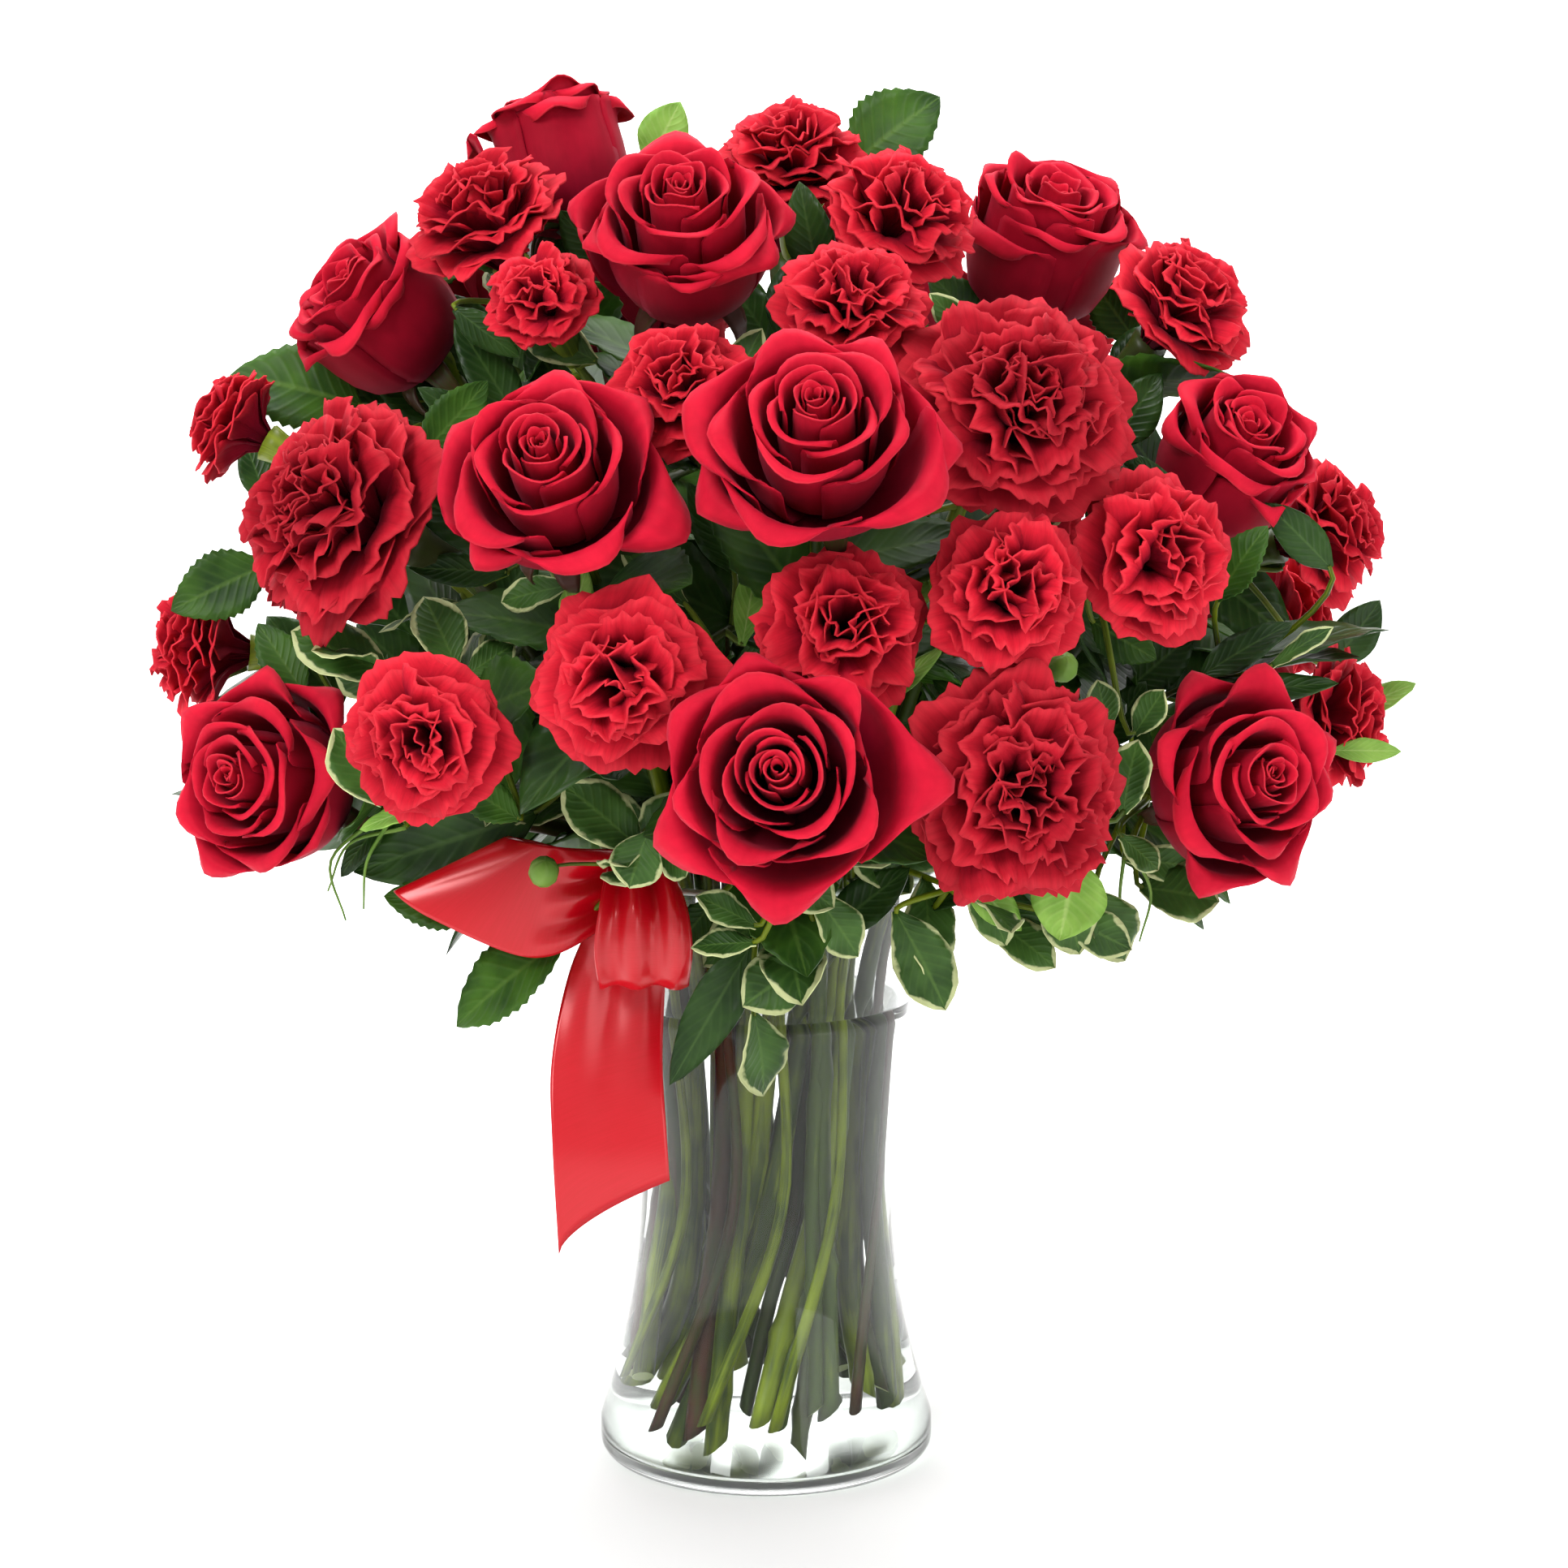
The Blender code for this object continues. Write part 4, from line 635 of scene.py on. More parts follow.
def carnation_petals(head, draw):
    """Petal grids for one carnation about its own axis, in metres.

    A blade's place is its middle line (out, up) plus a cross line x = width·fan(v)·u that is bent by
    -curl·x²/2, turned about the middle line by twist·v, and waved along the meridian's normal.
    """
    standard = head["kind"] == "standard"
    tiers = STANDARD_TIERS if standard else MINI_TIERS
    row_count, columns = STANDARD_GRID if standard else MINI_GRID
    radius, height = 0.5 * head["size"], head["height"]
    u = np.linspace(-1.0, 1.0, columns)[None, :]
    rows = np.linspace(0.0, 1.0, row_count)[:, None] ** 0.75
    turned = random.Random(100 + head["number"]).uniform(0.0, math.tau)
    grids, tones = [], []
    for tier, (count, wide, rim_out, rim_up, droop, curl, twist, waves, depth) in enumerate(tiers):
        turned += math.tau * 0.38 / count
        for k in range(count):
            bigger, lift = 1.0 + draw.uniform(-0.06, 0.05), draw.uniform(-0.05, 0.04)
            v = rows * (1.0 - TOOTH * draw.uniform(0.0, 1.0, columns) * smooth_step(rows, 0.80, 1.0))
            rounded = 0.30 * np.abs(u) ** 2.2 + 0.03 * np.sin(4.1 * u + draw.uniform(0.0, 6.0))
            v = v * (1.0 - rounded * rows)
            out = CLAW_OUT + (rim_out * bigger - CLAW_OUT) * (0.25 * v + 0.75 * v**2.0)
            up = (rim_up + lift) * (1.0 - np.clip(1.0 - v, 0.0, None) ** 1.8) - droop * v**5
            fan = 0.16 + 0.84 * smooth_step(v, 0.08, 0.72)
            x = wide * bigger * fan * u
            hand = 1.0 if tier < 2 or draw.random() < 0.62 else -0.8
            bend = -0.5 * hand * curl * draw.uniform(0.7, 1.25) * x**2
            turn = math.radians(twist) * draw.uniform(-1.0, 1.0) * smooth_step(v, 0.3, 1.0)
            side = x * np.cos(turn) - bend * np.sin(turn)
            inward = x * np.sin(turn) + bend * np.cos(turn)
            phase, second, third = draw.uniform(0.0, math.tau, 3)
            wave = np.sin(waves * math.pi * u + phase) + 0.42 * np.sin(4.1 * math.pi * u + second)
            wave = wave + 0.16 * v**3 * np.sin(6.3 * math.pi * u + third)
            wave = depth * wave * smooth_step(v, 0.25, 1.0) + 0.016 * np.sin(9.0 * u + 7.0 * v + third) * v
            steep = math.atan2(rim_up, rim_out)
            out = out + inward - wave * math.sin(steep)
            up = up + wave * math.cos(steep) * radius / height - 0.10 * np.abs(x) * v * (tier < 2)
            around = turned + math.tau * k / count + math.radians(draw.uniform(-9, 9))
            place_x = out * math.cos(around) - side * math.sin(around)
            place_y = out * math.sin(around) + side * math.cos(around)
            grids.append(np.stack([place_x * radius, place_y * radius, up * height], axis=-1))
            # Inner tiers get a lower tone, as painted shade in the folded centre; the random share is each
            # petal's own tone.
            tones.append(draw.uniform(0.84, 1.08) * (0.90 if tier > 3 else 1.0))
    return np.array(grids), np.array(tones) * (0.71 if standard else 0.98)


# %% [markdown]
# A rose's petal is a deep velvet red; a carnation's is more scarlet. On both, painted shade darkens the
# colour towards the claw, and a painted highlight makes it paler and pinker at the rim. Every petal also has
# a tone of its own, lowered on the inner petals as painted shade, and its back is darker than its front.

# %% Blooms in their places


def petal_colour_and_painted_light(name, stops, streaks, contrast, sheen, tint, rough):
    """A petal: colour runs from painted shade at the claw to a painted highlight at the rim, with fine
    streaks along it, a soft mottle and a velvet sheen.
    """
    made, tree, shader = new_finish(name, Roughness=rough, Sheen_Weight=sheen, Sheen_Roughness=0.45,
                                    Sheen_Tint=tint, Specular_IOR_Level=0.05)
    uv, place, tone = surface_of(tree)
    along = add(tree, "ShaderNodeSeparateXYZ", {"Vector": uv}).outputs["Y"]
    streak = noise(tree, scaled(tree, uv, (streaks, 2.2, 1.0)), 1.0, 3.0, 0.6)
    shade = spread(tree, streak, 0.3, 0.7, 1.0 - contrast, 1.0 + 0.7 * contrast)
    mottle = spread(tree, noise(tree, place, 120.0, 2.0), 0.3, 0.7, 0.90, 1.08)
    strength = math_of(tree, "MULTIPLY", math_of(tree, "MULTIPLY", shade, mottle), tone)
    # The ramp along the petal paints shade at the claw and a paler, pinker highlight at the rim.
    coat(tree, shader, ramp(tree, along, stops), strength, streak, 1.8 * contrast)
    return made


def place_bloom(head, grids):
    """Turns and moves grids from the bloom's own axis to the place and the facing of its solid."""
    side, up = frame_about(head["facing"])
    return grids @ np.stack([side, up, unit(head["facing"])]) + head["base"]


# Rose: the dark claw stops are painted shade; the pinker last stop at the rim is a painted highlight.
rose_velvet = petal_colour_and_painted_light(
    "rose_velvet",
    [(0.0, (0.20, 0.0030, 0.019)), (0.45, (0.39, 0.0048, 0.022)), (0.80, (0.51, 0.0074, 0.027)),
     (0.96, (0.57, 0.0105, 0.031)), (1.0, (0.62, 0.024, 0.045))],
    streaks=9.0, contrast=0.09, sheen=0.10, tint=(1.0, 0.20, 0.32, 1.0), rough=0.60)
# Carnation: the dark claw stops are painted shade; the paler, pinker last stop is a painted highlight.
carnation_scarlet = petal_colour_and_painted_light(
    "carnation_scarlet",
    [(0.0, (0.11, 0.0020, 0.012)), (0.5, (0.28, 0.0040, 0.018)), (0.85, (0.55, 0.0115, 0.027)),
     (1.0, (0.68, 0.028, 0.045))],
    streaks=30.0, contrast=0.18, sheen=0.08, tint=(1.0, 0.16, 0.26, 1.0), rough=0.65)
# The function that makes a bloom's petals, their finish, their slot and the tone of their backs
CARNATION_LOOK = (carnation_petals, carnation_scarlet, "carnation_petals", 0.85)
BLOOM_LOOKS = {"rose": (rose_petals, rose_velvet, "rose_petals", 0.74),
               "standard": CARNATION_LOOK, "mini": CARNATION_LOOK}
petal_draw = np.random.default_rng(7)
faces_made = 0
for head in heads.values():
    petals, finish, slot, behind = BLOOM_LOOKS[head["kind"]]
    grids, tones = petals(head, petal_draw)
    shell = shells(place_bloom(head, grids), PETAL_THICK, tones, 0, behind)
    piece(head["name"] + "_bloom", [shell], [finish], slot, [head["name"]])
    faces_made += 2 * sum(len(faces) for faces, _ in shell["faces"])
print("petal triangles", faces_made)

# %% [markdown]
# The glass is turned on its axis: a base with a rounded heel, a flared foot, a slim waist and an open lip
# with a round rim. The stems lie inside it, so its shape is needed before they are. Both walls follow one
# formula for the outer radius, and the inner one is a wall's thickness further in. The solid has a thick
# floor; the one that is drawn is thinner, because the ends of the stems in front reach lower in the photo.

# %% Shape of the vase
VASE_HEIGHT = 0.200
FOOT_RADIUS, FOOT_TOP = 0.0555, 0.012
WAIST_RADIUS, WAIST_HEIGHT = 0.0418, 0.090
LIP_RADIUS = 0.057
GLASS_WALL, GLASS_FLOOR = 0.0035, 0.011
THIN_FLOOR = 0.0045
CORNER_HIGH, CORNER_IN = 0.007, 0.006
WATER_LEVEL = 0.155


def vase_radius(z):
    """Outer radius of the glass at heights z: a power curve below the waist and another above it."""
    low = np.clip((WAIST_HEIGHT - np.maximum(z, FOOT_TOP)) / (WAIST_HEIGHT - FOOT_TOP), 0.0, None)
    high = np.clip((z - WAIST_HEIGHT) / (VASE_HEIGHT - WAIST_HEIGHT), 0.0, None)
    return WAIST_RADIUS + (FOOT_RADIUS - WAIST_RADIUS) * low**1.9 + (LIP_RADIUS - WAIST_RADIUS) * high**1.7


def inner_radius(z, floor=GLASS_FLOOR):
    """Inner radius of the glass, rounded in above the base, whose upper side is at the height floor."""
    corner = np.clip(1.0 - (z - floor) / CORNER_HIGH, 0.0, None)
    return vase_radius(z) - GLASS_WALL - CORNER_IN * corner**2


print("waist", round(2000 * float(vase_radius(WAIST_HEIGHT))), "mm, lip", round(2000 * LIP_RADIUS), "mm")

# %% [markdown]
# Every stem runs from its slanted cut end in the water, past the waist of the vase, where it lies in one
# of six bundles, up through the mouth and out to its bloom. Three-flowered sprays fork on the way, and
# nine leafy stalks stand between the bundles. The ways are straight guesses at first; then they are
# eased off each other, off the blooms, off the bow and off the glass, the same way as in the solids,
# so that each drawn stem lies where its solid does.

# %% Ways of the stems
STEM_RADIUS = {"rose": 0.0030, "standard": 0.0026, "mini": 0.0022}
TWIG, SPRIG_STALK = 0.0014, 0.0018
CALYX_RADIUS = {"rose": 0.0075, "standard": 0.0080, "mini": 0.0058}
CALYX_LENGTH = {"rose": 0.011, "standard": 0.026, "mini": 0.020}
SPRAYS = {
    "spray_top": "carnation_stems_front", "spray_front": "carnation_stems_front",
    "spray_right": "carnation_stems_front", "spray_top_left": "carnation_stems_left",
    "spray_left": "carnation_stems_left", "spray_back_left": "carnation_stems_left",
    "spray_far_right": "carnation_stems_back", "spray_back_right": "carnation_stems_back",
}
BUNDLES = {
    "carnation_stems_left": 140, "rose_stems_left": 200, "rose_stems_front": 260,
    "carnation_stems_front": 320, "rose_stems_right": 20, "carnation_stems_back": 80,
}
SPRIGS = {
    "pittosporum_bow": ("pittosporum", -111, -20, 119, 7),
    "pittosporum_front": ("pittosporum", -86, -38, 108, 9),
    "pittosporum_right": ("pittosporum", -56, -26, 128, 9),
    "pittosporum_left": ("pittosporum", -140, 6, 150, 9),
    "pittosporum_back": ("pittosporum", 96, -24, 130, 9),
    "salal_right": ("salal", -20, 4, 156, 7),
    "salal_left": ("salal", 178, -16, 146, 7),
    "salal_back_right": ("salal", 40, -18, 138, 7),
    "salal_back_left": ("salal", 140, -14, 140, 7),
}
ROSE_LEAVES = {
    "rose_top": 2, "rose_top_right": 2, "rose_upper_left": 3, "rose_low_left": 2, "rose_low_right": 2,
    "rose_right": 2, "rose_back_high": 2, "rose_back_low": 2, "rose_top_left": 2, "rose_front": 1,
    "rose_mid": 2, "rose_mid_left": 2,
}
FORK_REACH = 0.085
SILL_RING, SILL_HEIGHT = 0.049, 0.2095
BUNDLE_RADIUS, BUNDLE_CLOSENESS = 0.0228, 0.78
STALK_RING, FLOOR_RING, SPREAD = 0.0340, 0.043, 1.45
TWIST = math.radians(34)
CUT_SLOPE, CUT_LIFT, CUT_RANGE = 0.9, 0.0014, 0.014
NECK_LEVEL, NECK_SHARE = WATER_LEVEL + 0.004, 0.38
MOUTH_SHARE, MOUTH_POLAR, MOUTH_ROOM = 0.86, 85.0, 0.002
BOW = np.array([-0.038, -0.068, 0.2085])
BOW_IN = BOW + np.array([0.0050, 0.0100, 0.0015])
BOW_OUT = BOW + np.array([-0.0035, -0.0100, 0.0035])


def hermite(start, start_pull, end, end_pull, count):
    """Points on a cubic from one place and pull to another."""
    t = np.linspace(0.0, 1.0, count)[:, None]
    return ((2 * t**3 - 3 * t**2 + 1) * start + (t**3 - 2 * t**2 + t) * start_pull
            + (-2 * t**3 + 3 * t**2) * end + (t**3 - t**2) * end_pull)


def on_ring(radius, angle, height):
    """The point at a distance from the vase's axis, at an angle round it and at a height."""
    return np.array([radius * math.cos(angle), radius * math.sin(angle), height])


def vase_stretch(bundle_azimuth, ring, offset, target, polar, radius, draw):
    """A stem in the vase: its cut end, its place at the waist, and where it leaves the water."""
    azimuth = math.radians(bundle_azimuth) + offset / ring
    end = GLASS_FLOOR + CUT_LIFT + CUT_SLOPE * radius + draw.uniform(0.0, CUT_RANGE)
    floor = on_ring(min(ring * SPREAD, FLOOR_RING), azimuth - TWIST, end)
    waist = on_ring(ring, azimuth, WAIST_HEIGHT)
    room = float(inner_radius(WATER_LEVEL)) - radius - MOUTH_ROOM
    mouth = unit(np.array([target[0], target[1]])) * room * min(1.0, polar / MOUTH_POLAR) * MOUTH_SHARE
    neck = np.array([*((1.0 - NECK_SHARE) * waist[:2] + NECK_SHARE * mouth), NECK_LEVEL])
    return floor, waist, neck


def polar_angle(place):
    """Degrees between straight up and the way from the dome's centre to a place."""
    offset = place - DOME_CENTRE
    return math.degrees(math.acos(offset[2] / np.linalg.norm(offset)))


def bundle_ways(members, draw):
    """First guesses for the stems that lie together in the bundles."""
    ways = []
    for bundle, azimuth in BUNDLES.items():
        ordered = sorted(members[bundle], key=lambda entry: (
            math.degrees(math.atan2(entry[1][1], entry[1][0])) - azimuth + 180.0) % 360.0)
        kinds = [head["kind"] if head else "mini" for _, _, head in ordered]
        thick = [STEM_RADIUS[kind] for kind in kinds]
        gaps = [0.0] + [BUNDLE_CLOSENESS * (a + b) for a, b in zip(thick, thick[1:])]
        offsets = np.cumsum(gaps) - 0.5 * sum(gaps)
        for (name, target, head), kind, radius, offset in zip(ordered, kinds, thick, offsets):
            polar = polar_angle(target)
            stretch = vase_stretch(azimuth, BUNDLE_RADIUS, offset, target, polar, radius, draw)
            facing = head["facing"] if head else unit(target - stretch[2])
            end = target - facing * CALYX_LENGTH[kind] if head else target
            span = np.linalg.norm(end - stretch[2])
            rise = unit(stretch[2] - stretch[1] + 0.01 * UP)
            upper = hermite(stretch[2], rise * span * 0.9, end, facing * span * 0.8, 6)
            ways.append(dict(name=name, group=bundle, path=np.vstack([stretch[0], stretch[1], upper]),
                             radius=radius, wet=True, head=head, held=()))
    return ways


def spray_ways(forks, trunks):
    """First guesses for the three twigs of every spray, from its fork to its blooms."""
    ways = []
    for spray, fork in forks.items():
        trunk = next(way for way in trunks if way["name"] == spray)
        rise = unit(trunk["path"][-1] - trunk["path"][-2])
        for head in (h for h in heads.values() if h["bunch"] == spray):
            end = head["base"] - head["facing"] * CALYX_LENGTH["mini"]
            span = np.linalg.norm(end - fork)
            path = hermite(fork - rise * 0.002, rise * span * 0.6, end, head["facing"] * span * 0.8, 3)
            ways.append(dict(name=head["name"], group=SPRAYS[spray], path=path, radius=TWIG, wet=False,
                             head=head, held=()))
    return ways


def stalk_ways(draw):
    """First guesses for the leafy stalks, which lean over the lip of the vase."""
    ways = []
    for name, (kind, azimuth, elevation, reach, leaves) in SPRIGS.items():
        tip = DOME_CENTRE + direction(azimuth, elevation) * reach * MM
        stretch = vase_stretch(azimuth + 4, STALK_RING, 0.0, tip, 88.0, SPRIG_STALK, draw)
        out = unit(np.array([tip[0], tip[1], 0.0]))
        sill = out * SILL_RING + UP * SILL_HEIGHT
        if name == "pittosporum_bow":
            outer, held = np.vstack([BOW_IN, BOW_OUT, 0.5 * (BOW_OUT + tip) + UP * 0.003, tip]), (4, 5, 6)
        else:
            span = np.linalg.norm(tip - sill)
            pull = out * 0.5 * span + UP * 0.5 * span
            outer, held = hermite(sill, pull, tip, out * span * 0.8 - UP * 0.3 * span, 4)[1:], (4,)
        rise = hermite(stretch[2], UP * 0.04, sill, (out + UP) * 0.02, 3)
        ways.append(dict(name=name, group=name, path=np.vstack([stretch[0], stretch[1], rise, outer]),
                         radius=SPRIG_STALK, wet=True, head=None, held=held, leaves=leaves, kind=kind))
    return ways


stem_draw = random.Random(11)
members = {bundle: [] for bundle in BUNDLES}
for head in heads.values():
    if head["bunch"] in BUNDLES:
        members[head["bunch"]].append((head["name"], head["base"], head))
forks = {}
for spray, bundle in SPRAYS.items():
    bases = [head["base"] for head in heads.values() if head["bunch"] == spray]
    forks[spray] = DOME_CENTRE + unit(sum(bases) / len(bases) - DOME_CENTRE) * FORK_REACH
    members[bundle].append((spray, forks[spray], None))
ways = bundle_ways(members, stem_draw)
ways += spray_ways(forks, ways)
ways += stalk_ways(stem_draw)
print("ways", len(ways))

# %% [markdown]
# Easing the ways apart works on all stretches of all stems at once. Where two stretches of different
# bundles come nearest, each is pushed off the other, and the push is shared out to the two ends of the
# stretch. The same push keeps the stems off the blooms, each taken as a ball, and inside the glass.

# %% Ease the ways apart
STEM_ROOM, GLASS_ROOM, BOW_ROOM = 0.0016, 0.0012, 0.020
RIM_HIGH, RIM_WIDE = 0.004, 0.002
BLOOM_BALL, BALL_BACK = 0.52, 0.12
EASE_STEP, STRAIGHTEN = 1.6, 0.05
SPOTS = np.linspace(0.07, 0.93, 7)


def nearest_shares(start_a, run_a, start_b, run_b):
    """Where two straight stretches come nearest, as a share of each, for whole arrays of pairs."""
    gap = start_a - start_b
    aa, bb, ab = (run_a * run_a).sum(-1), (run_b * run_b).sum(-1), (run_a * run_b).sum(-1)
    ag, bg = (run_a * gap).sum(-1), (run_b * gap).sum(-1)
    along_a = np.clip((ab * bg - ag * bb) / np.maximum(aa * bb - ab * ab, 1e-15), 0.0, 1.0)
    along_b = np.clip((ab * along_a + bg) / bb, 0.0, 1.0)
    return np.clip((ab * along_b - ag) / aa, 0.0, 1.0), along_b


def push_off_heads(places, radius, own_head):
    """How far to move places so that they clear the blooms, each taken as a ball."""
    centres = np.array([head["centre"] - head["facing"] * BALL_BACK * head["size"]
                        for head in heads.values()])
    sizes = np.array([BLOOM_BALL * head["size"] for head in heads.values()])
    away = places[:, None, :] - centres[None, :, :]
    reach = np.linalg.norm(away, axis=2)
    close = np.clip(sizes[None, :] + radius[:, None] + STEM_ROOM - reach, 0.0, None)
    close[own_head] = 0.0
    return (away / reach[:, :, None] * close[:, :, None]).sum(axis=1)


def push_off_glass(places, radius):
    """How far to move places that are inside the vase, or near its rim, so that they clear the glass."""
    ring = np.linalg.norm(places[:, :2], axis=1)
    inside = (places[:, 2] < VASE_HEIGHT + RIM_HIGH) & (ring < LIP_RADIUS + RIM_WIDE)
    room = inner_radius(np.clip(places[:, 2], GLASS_FLOOR, VASE_HEIGHT))
    over = np.where(inside, np.clip(ring + radius + GLASS_ROOM - room, 0.0, None), 0.0)
    push = np.zeros_like(places)
    push[:, :2] = -places[:, :2] / ring[:, None] * over[:, None]
    rim_ring = LIP_RADIUS - 0.5 * GLASS_WALL
    rim = np.hstack([places[:, :2] / ring[:, None] * rim_ring, np.full((len(places), 1), VASE_HEIGHT)])
    away = places - rim
    near = np.linalg.norm(away, axis=1)
    return push + away / near[:, None] * np.clip(radius + GLASS_WALL + STEM_ROOM - near, 0.0, None)[:, None]


def push_off_bow(places, ties):
    """How far to move places off the bow, but for the stalk that it is tied round."""
    away = places - BOW
    near = np.linalg.norm(away, axis=1)
    return away / near[:, None] * np.where(ties, 0.0, np.clip(BOW_ROOM - near, 0.0, None))[:, None]


def part_ways(ways, rounds=90):
    """Eases stems of different bundles off each other, off the blooms, the bow and the glass."""
    points = np.vstack([way["path"] for way in ways])
    groups = [*BUNDLES, *SPRIGS]
    owner, first, free, start = [], [], [], 0
    for k, way in enumerate(ways):
        count = len(way["path"])
        for i in range(count):
            stays = i < (2 if way["wet"] else 1) or i == count - 1 or i in way["held"]
            level = i == 2 and way["wet"]
            free.append((0.0, 0.0, 0.0) if stays else (1.0, 1.0, 0.0 if level else 1.0))
        first += range(start, start + count - 1)
        owner += [k] * (count - 1)
        way["rows"] = slice(start, start + count)
        start += count
    first, owner, free = np.array(first), np.array(owner), np.array(free)
    radius = np.array([ways[k]["radius"] for k in owner])
    bundle = np.array([groups.index(ways[k]["group"]) for k in owner])
    a, b = np.triu_indices(len(first), 1)
    apart = bundle[a] != bundle[b]
    a, b = a[apart], b[apart]
    want = radius[a] + radius[b] + STEM_ROOM
    own_head = np.array([[ways[k]["name"] == name for name in heads] for k in owner])
    ties = np.array([ways[k]["name"] == "pittosporum_bow" for k in owner])
    for _ in range(rounds):
        shift, total = np.zeros_like(points), np.zeros(len(points))

        def give(rows, along, push):
            """Shares a push out to the two ends of each stretch, and counts what each end gets."""
            for index, share in ((first[rows], 1.0 - along), (first[rows] + 1, along)):
                np.add.at(shift, index, push * share[:, None])
                np.add.at(total, index, share * (np.linalg.norm(push, axis=1) > 0.0))

        low, run = points[first], points[first + 1] - points[first]
        along_a, along_b = nearest_shares(low[a], run[a], low[b], run[b])
        away = low[a] + run[a] * along_a[:, None] - low[b] - run[b] * along_b[:, None]
        distance = np.linalg.norm(away, axis=1) + 1e-9
        push = away / distance[:, None] * np.clip(want - distance, 0.0, None)[:, None] * 0.5
        give(a, along_a, push)
        give(b, along_b, -push)
        for spot in SPOTS:
            places = low + run * spot
            push = push_off_heads(places, radius, own_head) * 0.5
            push += push_off_glass(places, radius) + push_off_bow(places, ties)
            give(np.arange(len(first)), np.full(len(first), spot), push)
        points = points + shift / np.maximum(total, 1.0)[:, None] * EASE_STEP * free
        for way in ways:
            path, loose = points[way["rows"]], free[way["rows"]][1:-1]
            inner = slice(way["rows"].start + 1, way["rows"].stop - 1)
            points[inner] += STRAIGHTEN * (0.5 * (path[:-2] + path[2:]) - path[1:-1]) * loose
    for way in ways:
        way["path"] = points[way["rows"]]


def node_tree(*names):
    """One search tree of the surfaces of some solids of the frame."""
    points, faces = [], []
    for name in names:
        mesh = nodes[name].data
        faces += [[i + len(points) for i in polygon.vertices] for polygon in mesh.polygons]
        points += [nodes[name].matrix_world @ vertex.co for vertex in mesh.vertices]
    return BVHTree.FromPolygons(points, faces)


part_ways(ways)
miss = [node_tree(way["group"]).find_nearest(way["path"][-2].tolist())[3] - way["radius"] for way in ways]
print("a stem's centre line lies off the skin of its solid by its radius and at most",
      round(max(map(abs, miss)) * 1000, 2), "mm")

# %% [markdown]
# Stems that a florist turns into a spiral cross each other in the water. Within a bundle the feet therefore
# change places, half a bundle's width on, and the stems that run one way pass outside those that run the
# other. The two bundles in front also reach down to the drawn floor. A second path keeps this apart, because
# the leaves still find their places on the first. Seven thin stalks, which belong to the leaves deep in the
# bouquet, stand inside the ring of bundles.

# %% Cross the feet
CROSSING = 0.0028
DEEPER = GLASS_FLOOR - THIN_FLOOR
INNER_STALKS = ("salal_left", "pittosporum_front", "salal_right", "salal_back_right", "pittosporum_back",
                "salal_back_left", "pittosporum_left")
# An inner stalk's distance from the axis, how far it is turned on, in radians, and its height: at its
# foot, at the waist, above the water and at its top
INNER_STATIONS = [(0.026, -0.9, 0.021), (0.0125, 0.0, WAIST_HEIGHT), (0.0120, 0.5, WATER_LEVEL + 0.02),
                  (0.0140, 0.7, 0.236)]


def cross_feet(bundle):
    """Gives each stem of a bundle the foot of another, with a point half way up moved out or in.

    The place at the waist is then evened out between its neighbours, so that the stem bends gently.
    """
    together = [way for way in ways if way["wet"] and way["group"] == bundle]
    deeper = DEEPER if bundle.endswith("_front") else 0.0
    feet = [way["path"][0].copy() for way in together]
    turn = (len(feet) + 1) // 2
    for number, way in enumerate(together):
        foot, waist = feet[(number + turn) % len(feet)], way["path"][1]
        half_way = 0.5 * (foot + waist)
        outward = unit(half_way * (1.0, 1.0, 0.0)) * (CROSSING if number + turn < len(feet) else -CROSSING)
        half_way, above = half_way + outward, way["path"][2]
        waist = 0.5 * waist + 0.25 * (half_way + above)
        way["drawn"] = np.vstack([foot - deeper * UP, half_way, waist, way["path"][2:]])


def inner_stalk(number, group):
    """The stalk of leaves deep in the bouquet: it runs up the middle of the vase, inside the bundles."""
    turn = math.tau * number / len(INNER_STALKS)
    foot, waist, neck, top = (on_ring(ring, turn + on, height) for ring, on, height in INNER_STATIONS)
    path = np.vstack([foot, 0.5 * (foot + waist), waist, neck, top])
    return dict(name=group + "_inner", group=group, path=path, radius=SPRIG_STALK, wet=True, head=None)


for bundle in BUNDLES:
    cross_feet(bundle)
inner_ways = [inner_stalk(number, group) for number, group in enumerate(INNER_STALKS)]
print("bundles crossed", len(BUNDLES), "inner stalks", len(inner_ways))

# %% [markdown]
# A stem is a round tube along its way, drawn through the way's points as a smooth curve. Its foot is a
# slanted fresh cut, it swells a little at each joint, and it ends in the green calyx that holds the
# petals: a long cup under a carnation, a round hip with five sepals under a rose. Under water it is drawn
# up to 16% thicker, because stems look so in the photo.

# %% Stems
STEM_SIDES = 10
WATER_SWELL, SWELL_FULL, SWELL_NONE = 0.16, 0.06, 0.16
RINGS_PER_STRETCH = 7
JOINT_EVERY = 9
STALK_TAPER = 0.45
UV_PER_METRE = 10.0
JOINT_SWELL = {"rose": 1.12, "standard": 1.34, "mini": 1.30, "stalk": 1.10}
CALYX_SHAPE = {
    "rose": [(0.25, 0.46), (0.50, 0.72), (0.72, 0.86), (0.90, 0.84), (1.05, 1.00)],
    "standard": [(0.12, 0.56), (0.30, 0.68), (0.55, 0.76), (0.85, 0.92), (1.04, 1.06)],
    "mini": [(0.12, 0.58), (0.30, 0.70), (0.55, 0.78), (0.85, 0.92), (1.05, 1.08)],
}


